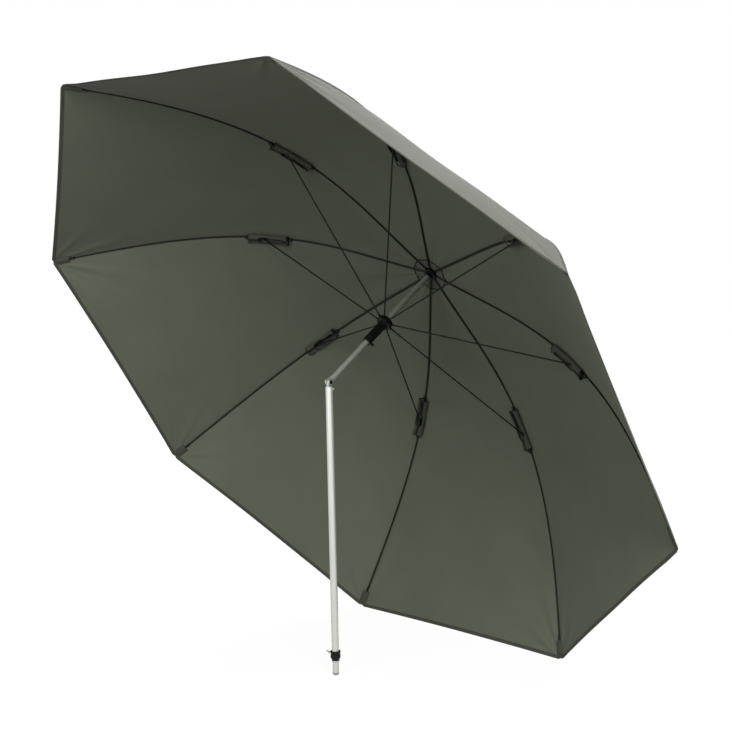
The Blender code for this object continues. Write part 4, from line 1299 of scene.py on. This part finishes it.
def padRows(i):
    # The pad's sheet: a sleeve round the rib and its bracket, slit underneath for the stretcher
    rows = []
    wrap, slit, uneven = pad["wrap"], pad["slit"], pad["uneven"]
    cap = [pi * k / 8 for k in range(1, 8)]
    for s in np.linspace(0, 1, 34):
        share = pad["start"] + (pad["end"] - pad["start"]) * s
        spot, slope = ribSpot(share), ribSlope(share)
        up = Vector((-slope, 0, 1)).normalized()
        flare = pad["flare"] * abs(2 * s - 1) ** 3
        opening = pad["gap"] + (pad["narrowSlit"] - pad["gap"]) * smooth(*slit[:2], s)
        opening += (pad["wideSlit"] - pad["narrowSlit"]) * smooth(*slit[2:4], s)
        opening += (pad["gap"] - pad["wideSlit"]) * smooth(*slit[4:], s)
        row = []
        for side in (1, -1):
            spread = pad["spread"] + flare + uneven[0] * sin(7.0 * s + 2.1 * i + side)
            depth = pad["depth"] + flare + uneven[1] * sin(5.0 * s + 1.3 * i - side)
            lapOut, lapDown = (0.0004, 0.0009) if side > 0 else (0.0, 0.0)  # so that the flaps don't meet
            bends = [(wrap, 0.0), (wrap + 1.5 * spread, -0.1 * depth), (wrap + 1.4 * spread, -1.2 * depth),
                     (float(opening) + lapOut, -1.05 * depth - lapDown)]
            flap = []
            for k in range(13):
                d = k / 12
                parts = ((1 - d) ** 3, 3 * d * (1 - d) ** 2, 3 * d * d * (1 - d), d ** 3)
                lateral, rise = (sum(part * bend[n] for part, bend in zip(parts, bends)) for n in (0, 1))
                wave = uneven[2] * sin(11 * s + 6 * d + i)
                flap.append(spot + Vector((0, side * (lateral + wave), 0)) + up * rise)
            row += flap[::-1] if side > 0 else flap
            if side > 0:
                row += [spot + Vector((0, wrap * cos(angle), 0)) + up * wrap * sin(angle) for angle in cap]
        rows.append(row)
    return rows


def makePadMesh(i):
    rows = np.array([[tuple(point) for point in row] for row in padRows(i)])
    rise = np.zeros_like(rows)
    rise[1:-1, 1:-1] = np.cross(rows[2:, 1:-1] - rows[:-2, 1:-1], rows[1:-1, 2:] - rows[1:-1, :-2])
    rise[0], rise[-1] = rise[1], rise[-2]
    rise[:, 0], rise[:, -1] = rise[:, 1], rise[:, -2]
    rise /= np.linalg.norm(rise, axis=-1, keepdims=True)
    middle = rows.shape[1] // 2
    if (rise[:, middle] * (rows[:, middle] - rows[:, 0])).sum() < 0:
        rise = -rise
    steps = np.linalg.norm(np.diff(rows, axis=1), axis=-1)
    girth = np.concatenate([np.zeros((len(rows), 1)), steps.cumsum(1)], 1)
    run = np.linspace(0, pad["length"], len(rows))[:, None].repeat(rows.shape[1], 1)
    mesh = slabMesh(rows, rows + rise * pad["wall"], None, np.stack([girth, run], -1), 0)
    wide = rows.shape[1] - 1
    edges = [face // 2 % wide in (0, wide - 1) or face // 2 // wide in (0, len(rows) - 2, len(rows) - 1)
             for face in range(len(mesh.polygons))]
    mesh.polygons.foreach_set("material_index", edges)
    return outward(mesh), rows, rise


def padStitchLines(rows, rise):
    over = 0.0001
    return [rows[:, column] + rise[:, column] * high for column in (1, -2) for high in (pad["wall"] + over, -over)]


def makeFrameWork():
    rib, bracket, tip, stay = makeRibMesh(), makeBracketMesh(), makeTipMesh(), makeStretcherMesh()
    lean = Vector((-jointPin.x, 0, -runnerDrop - jointPin.z))
    turn = Vector((1, 0, 0)).rotation_difference(lean).to_matrix().to_4x4()
    for i in range(panelCount):
        body, place = f"rib_frame_{i + 1}", ribFrames[i]
        addPiece(f"rib_rod_{i + 1}", placed(rib, place), body, blackRod, [f"rib_{i + 1}"])
        addPiece(f"rib_bracket_{i + 1}", placed(bracket, place), body, blackPlastic, ())
        addPiece(f"rib_tip_{i + 1}", placed(tip, place), body, blackPlastic, [f"tip_cap_{i + 1}"])
        mesh, rows, rise = makePadMesh(i)
        sleeve = addPiece(f"pad_sleeve_{i + 1}", placed(mesh, place), body, [padCloth, bindingAndShadowTape],
                          [f"guard_pad_{i + 1}"], 60)
        sewing = grown(lineMesh(padStitchLines(rows, rise)), stitchTree, thread, stitchSizes)
        stitches = addPiece(f"pad_stitches_{i + 1}", placed(sewing, place), body, None, (), 60)
        addPiece(f"stretcher_rod_{i + 1}", placed(stay, place @ shift(jointPin) @ turn), f"strut_{i + 1}",
                 blackRod, [f"stretcher_{i + 1}"])
    print("ribs and stretchers hung")


makeFrameWork()

# Hub, runner and crown cap
head = {
    "hubRadius": 0.0225,
    "hubHalf": 0.0075,
    "hubSleeve": 0.0135,
    "hubSleeveLength": 0.022,
    "runnerRadius": 0.028,
    "runnerHalf": 0.009,
    "runnerSleeve": 0.0160,
    "runnerLength": 0.112,
    "slotRoot": 0.0114,
    "slotWidth": 0.0038,
    "wire": 0.0012,
    "bore": 0.0098,
    "screwAzimuth": radians(55),
    "screwAboveEnd": 0.009,
    "screwRadius": 0.0024,
    "knobRadius": 0.0056,
    "bossRadius": 0.0052,
}
crown = {
    "lip": 0.034,
    "lipWall": 0.003,
    "hollow": 0.0235,
    "height": 0.014,
    "crownRadius": 0.012,
    "stem": 0.0082,
    "stemLength": 0.030,
    "base": 0.0062,
}


def slottedHead(profile, radius, half):
    body = lathe(profile, 0.0008, 96)
    return grown(body, slotTree, blackPlastic, {
        "Count": panelCount, "Root Radius": head["slotRoot"], "Reach": radius + 0.004 - head["slotRoot"],
        "Width": head["slotWidth"], "Height": 2 * half + 0.006})


def ringMesh(radius, wire):
    return lathe([(radius + wire * cos(angle), wire * sin(angle)) for angle in fullTurn(12)], 0.0, 96)


def makeHub():
    r, half, sleeve, bore = head["hubRadius"], head["hubHalf"], head["hubSleeve"], head["bore"]
    notch = slottedHead([(bore, half), (r, half), (r, -half), (sleeve + 0.001, -half), (sleeve, -half - 0.002),
                         (sleeve, -head["hubSleeveLength"]), (bore, -head["hubSleeveLength"])], r, half)
    addPiece("slotted_notch", placed(notch, hubFrame), "mast", None, ["top_notch"])
    addPiece("notch_ring", placed(ringMesh(pivotRadius, head["wire"]), hubFrame), "mast", wireMetal,
             ["notch_wire"])
    lip, high, base, stem, hollow = (crown[key] for key in ("lip", "height", "base", "stem", "hollow"))
    cap = lathe([(0, base + high + 0.0015), (0.006, base + high + 0.0012), (crown["crownRadius"], base + high),
                 (lip * 0.62, base + high * 0.78), (lip * 0.66, base + high * 0.66), (lip, base + high * 0.30),
                 (lip, base), (lip - crown["lipWall"], base), (hollow, base), (hollow, half + fit),
                 (stem, half + fit), (stem, -crown["stemLength"]), (0, -crown["stemLength"])], 0.0014, 96)
    addPiece("top_cap", placed(cap, hubFrame), "mast", blackPlastic, ["crown_cap"])


def makeRunner():
    r, half, sleeve, bore = head["runnerRadius"], head["runnerHalf"], head["runnerSleeve"], head["bore"]
    long = head["runnerLength"]
    body = slottedHead([
        (bore, half), (r, half), (r, -half), (sleeve + 0.003, -half - 0.002), (sleeve, -half - 0.012),
        (sleeve, -long + 0.022), (sleeve + 0.0008, -long + 0.020), (sleeve + 0.0008, -long + 0.018),
        (sleeve, -long + 0.016), (sleeve, -long), (bore, -long)], r, half)
    turn = turned(head["screwAzimuth"], "Z") @ shift((0, 0, head["screwAboveEnd"] - long))
    wide = head["bossRadius"]
    boss = lathe([(0, sleeve + 0.002), (0.0044, sleeve + 0.002), (wide, sleeve - 0.001), (wide, sleeve - 0.004),
                  (0, sleeve - 0.004)], 0.0006, 32)
    body = together(addLayers(body), placed(boss, turn @ quarterY))
    addPiece("sliding_runner", placed(body, runnerFrame), "slider", blackPlastic, ["runner"])
    addPiece("runner_ring", placed(ringMesh(pivotRadius, head["wire"]), runnerFrame), "slider", wireMetal,
             ["runner_wire"])
    seat, grip, screw = sleeve + 0.0023, head["knobRadius"], head["screwRadius"]
    knob = lathe([(0, seat + 0.0090), (0.0040, seat + 0.0088), (grip, seat + 0.0066), (grip, seat + 0.0020),
                  (0.0042, seat), (screw, seat), (screw, bore), (0, bore)], 0.0008, 40)
    knob = grown(knob, gripTree, blackPlastic, {
        "Count": 14, "Radius": 0.0055, "Ridge": 0.0005, "Height": 0.0044, "Middle": seat + 0.0043})
    addPiece("runner_knob", placed(knob, runnerFrame @ turn @ quarterY), "screw", None, ["runner_screw"])
    print("hub and runner fitted")


makeHub()
makeRunner()

# Poles, collar and elbow
pole = {
    "groundRadius": 0.0110,
    "groundWall": 0.0012,
    "footHeight": 0.028,
    "footShoulder": 0.010,
    "radius": 0.0125,
    "wall": 0.0010,
    "bottom": 0.0603,
    "top": 1.011,
    "mastRadius": 0.0095,
    "mastBottom": 0.0258,
    "mastTop": 0.6332,
    "buttonAzimuth": radians(45),
    "buttonHeight": 1.003,
    "buttonRadius": 0.0045,
    "buttonRise": 0.0050,
    "buttonFoot": 0.0070,
    "buttonSink": 0.0033,    # room behind the button's foot when it's pressed
}
collar = {
    "bottom": 0.0535,
    "height": 0.0335,
    "radius": 0.0182,
    "waist": 0.0173,
    "nose": 0.0126,
    "noseHeight": 0.012,
    "ringRise": 0.0028,
    "ringDepth": 0.0034,
}
lever = {
    "azimuth": radians(225),
    "reach": 0.0220,
    "height": 0.0820,
    "slope": radians(36),
    "length": 0.0100,
    "width": 0.0080,
    "barrel": 0.0032,
    "thickness": 0.0022,
    "pinRadius": 0.0012,
    "lugRoot": 0.0175,
    "lugRound": 0.0023,
    "lugThickness": 0.0020,
    "lugGap": 0.0004,
    "pinHead": 0.0002,
}
elbow = {
    "gap": 0.0018,
    "tongueThickness": 0.014,
    "tongueWidth": 0.018,
    "tongueEdge": 0.0012,    # rounding of its edges
    "plugLength": 0.040,
    "earThickness": 0.003,
    "earRadius": 0.0100,
    "earLength": 0.0135,
    "forkBase": 0.012,
    "forkPlug": 0.046,
    "pinRadius": 0.004,
    "headRadius": 0.0070,
    "head": 0.0022,
}


def tubeMesh(radius, wall, bottom, top):
    return lathe([(radius, top), (radius, bottom), (radius - wall, bottom), (radius - wall, top)], 0.0003, 96)


def buttonAim(height):
    return turned(pole["buttonAzimuth"], "Z") @ shift((0, 0, height))


def makePoles():
    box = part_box("ground_tube")
    r, wall = pole["groundRadius"], pole["groundWall"]
    addPiece("ground_pole", tubeMesh(r, wall, box[0].z, box[1].z), "ground_post", aluminium, ["ground_tube"])
    inner, shoulder = r - wall - fit, pole["footShoulder"]
    foot = lathe([(0, pole["footHeight"]), (inner, pole["footHeight"]), (inner, shoulder), (r, shoulder),
                  (r, 0.0045), (0.0068, 0), (0, 0)], 0.0012, 64)
    block = rodMesh(0.0011, -0.002, 0.006, 0.0001, 16)
    reshaped(block, lambda shape: bmesh.ops.scale(shape, vec=(4, 1, 1), verts=shape.verts))
    blocks = [placed(block, turned(lever["azimuth"] + k * pi / 2, "Z") @ shift((0.009, 0, -0.0033)))
              for k in range(4)]
    addPiece("foot_plug", cutBy(foot, *blocks), "ground_post", footPlastic, ["ground_plug"])
    low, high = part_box("guide_bush")
    outer, bore = pole["radius"] - pole["wall"] - fit, inner - 0.0015
    bush = lathe([(outer, high.z), (outer, high.z - 0.006), (inner, high.z - 0.006), (inner, low.z),
                  (bore, low.z), (bore, high.z)], 0.0003, 64)
    addPiece("slide_bush", bush, "ground_post", blackPlastic, ["guide_bush"])

    tube = tubeMesh(pole["radius"], pole["wall"], pole["bottom"], pole["top"])
    aim, r = buttonAim(pole["buttonHeight"]), pole["buttonRadius"]
    well = rodMesh(r + fit, 0, 0.02, 0.0, 48)
    addPiece("outer_pole", cutBy(tube, placed(well, aim @ quarterY)), "pole", aluminium, ["lower_pole"])
    face = pole["radius"] + pole["buttonRise"]
    button = lathe([(0, face + 0.0002), (0.0026, face), (r, face - 0.0016), (r, pole["buttonFoot"]),
                    (0, pole["buttonFoot"])], 0.0008, 48)
    addPiece("spring_button", placed(button, aim @ quarterY), "button", mastAluminiumPaintedShade, ["tilt_button"])
    mast = tubeMesh(pole["mastRadius"], pole["wall"], pole["mastBottom"], pole["mastTop"])
    addPiece("mast_pole", placed(mast, elbowFrame), "mast", mastAluminiumPaintedShade, ["mast_tube"])


def makeCollar():
    low, top = collar["bottom"], collar["bottom"] + collar["height"]
    ledge, nose = pole["bottom"] - fit, low + collar["noseHeight"]
    r, waist = collar["radius"], collar["waist"]
    narrow, wide = pole["groundRadius"] + fit, pole["radius"] + fit
    body = lathe([(wide, top), (r - 0.0010, top), (r, top - 0.0015), (waist, top - 0.005), (waist, nose + 0.004),
                  (r, nose), (collar["nose"], low), (narrow, low), (narrow, ledge), (wide, ledge)], 0.0008, 96)
    aim = turned(lever["azimuth"], "Z")
    high = lever["height"]
    outline = linkOutline((lever["lugRoot"], high), (lever["reach"], high), lever["lugRound"])
    lug = secondMaterial(plate(outline, lever["lugThickness"]))
    cheek = lever["width"] / 2 + lever["lugGap"]
    lugs = [placed(lug, aim @ shift((0, side * (cheek + lever["lugThickness"] / 2), 0))) for side in (-1, 1)]
    reach = cheek + lever["lugThickness"] + lever["pinHead"]
    pin = placed(rodMesh(lever["pinRadius"], -reach, reach, 0.0002, 24),
                 aim @ shift((lever["reach"], 0, high)) @ quarterX)
    addPiece("clamp_collar", together(body, *lugs, pin), "pole", [blackPlastic, casting], ["lock_collar"])
    seat, bottom, wide = low - fit, low - collar["ringDepth"], narrow + collar["ringRise"]
    ring = lathe([(wide, seat), (wide, bottom), (narrow, bottom), (narrow, seat)], 0.0006, 96)
    addPiece("collar_ring", ring, "pole", casting, ())
    half = lever["thickness"] / 2
    side = asin(half / lever["barrel"])
    outline = arcPoints((0, 0), lever["barrel"], side, 2 * pi - side, 24)
    outline += arcPoints((lever["length"], 0), half, -pi / 2, pi / 2)
    blade = plate(outline, lever["width"], [((0, 0), lever["pinRadius"] + fit)])
    place = shift(jointNamed("collar_lever_hinge")["pos_m"]) @ aim @ turned(-lever["slope"], "Y")
    addPiece("clamp_lever", placed(blade, place), "lever", casting, ["collar_lever"])


def makeElbow():
    spigot = pole["radius"] - pole["wall"] - fit
    pin = elbow["pinRadius"]
    down = pole["top"] - elbowPlace.z
    plug = rodMesh(spigot, down - elbow["plugLength"], down, 0.0010, 64)
    deep = pole["buttonFoot"] - pole["buttonSink"]
    well = rodMesh(pole["buttonRadius"] + fit, deep, 0.02, 0.0, 48)
    plug = cutBy(plug, placed(well, buttonAim(pole["buttonHeight"] - elbowPlace.z) @ quarterY))
    edge = elbow["tongueEdge"]
    tongue = plate(linkOutline((0, down - 0.004), (0, 0), elbow["tongueWidth"] / 2 - edge),
                   elbow["tongueThickness"] - 2 * elbow["gap"], [((0, 0), pin + fit)], edge)
    whole = together(addLayers(plug), placed(tongue, quarterZ))
    addPiece("tongue_casting", placed(whole, shift(elbowPlace)), "pole", casting, ["elbow_tongue"])
    earPlace = elbow["tongueThickness"] / 2 + fit + elbow["earThickness"] / 2
    outer = earPlace + elbow["earThickness"] / 2
    length = elbow["earLength"]
    end, root = length + elbow["forkPlug"], length + elbow["forkBase"]
    inner = pole["mastRadius"] - pole["wall"] - fit
    base = lathe([(0, end), (inner, end), (inner, root), (outer - 0.0006, root), (outer, root - 0.004),
                  (outer, length), (0, length)], 0.0008, 64)
    ear = plate(linkOutline((0, 0), (0, length + 0.001), elbow["earRadius"], elbow["earRadius"] * 0.55),
                elbow["earThickness"], [((0, 0), pin + fit)], 0.0008)
    ears = [placed(ear, shift((side * earPlace, 0, 0)) @ quarterZ) for side in (-1, 1)]
    addPiece("fork_casting", placed(together(secondMaterial(base), *ears), elbowFrame), "mast",
             [casting, mastAluminiumPaintedShade], ["elbow_fork"])
    reach, headRadius, high = outer + fit, elbow["headRadius"], elbow["head"]
    half = [(0, reach + high), (headRadius * 0.75, reach + high * 0.95), (headRadius, reach + high * 0.4),
            (headRadius, reach), (pin, reach)]
    bolt = lathe(mirrored(half), 0.0008, 64)
    addPiece("tilt_bolt", placed(bolt, shift(elbowPlace) @ quarterY), "pole", blackPlastic, ["elbow_pin"])
    print("poles and elbow fitted")


makePoles()
makeCollar()
makeElbow()
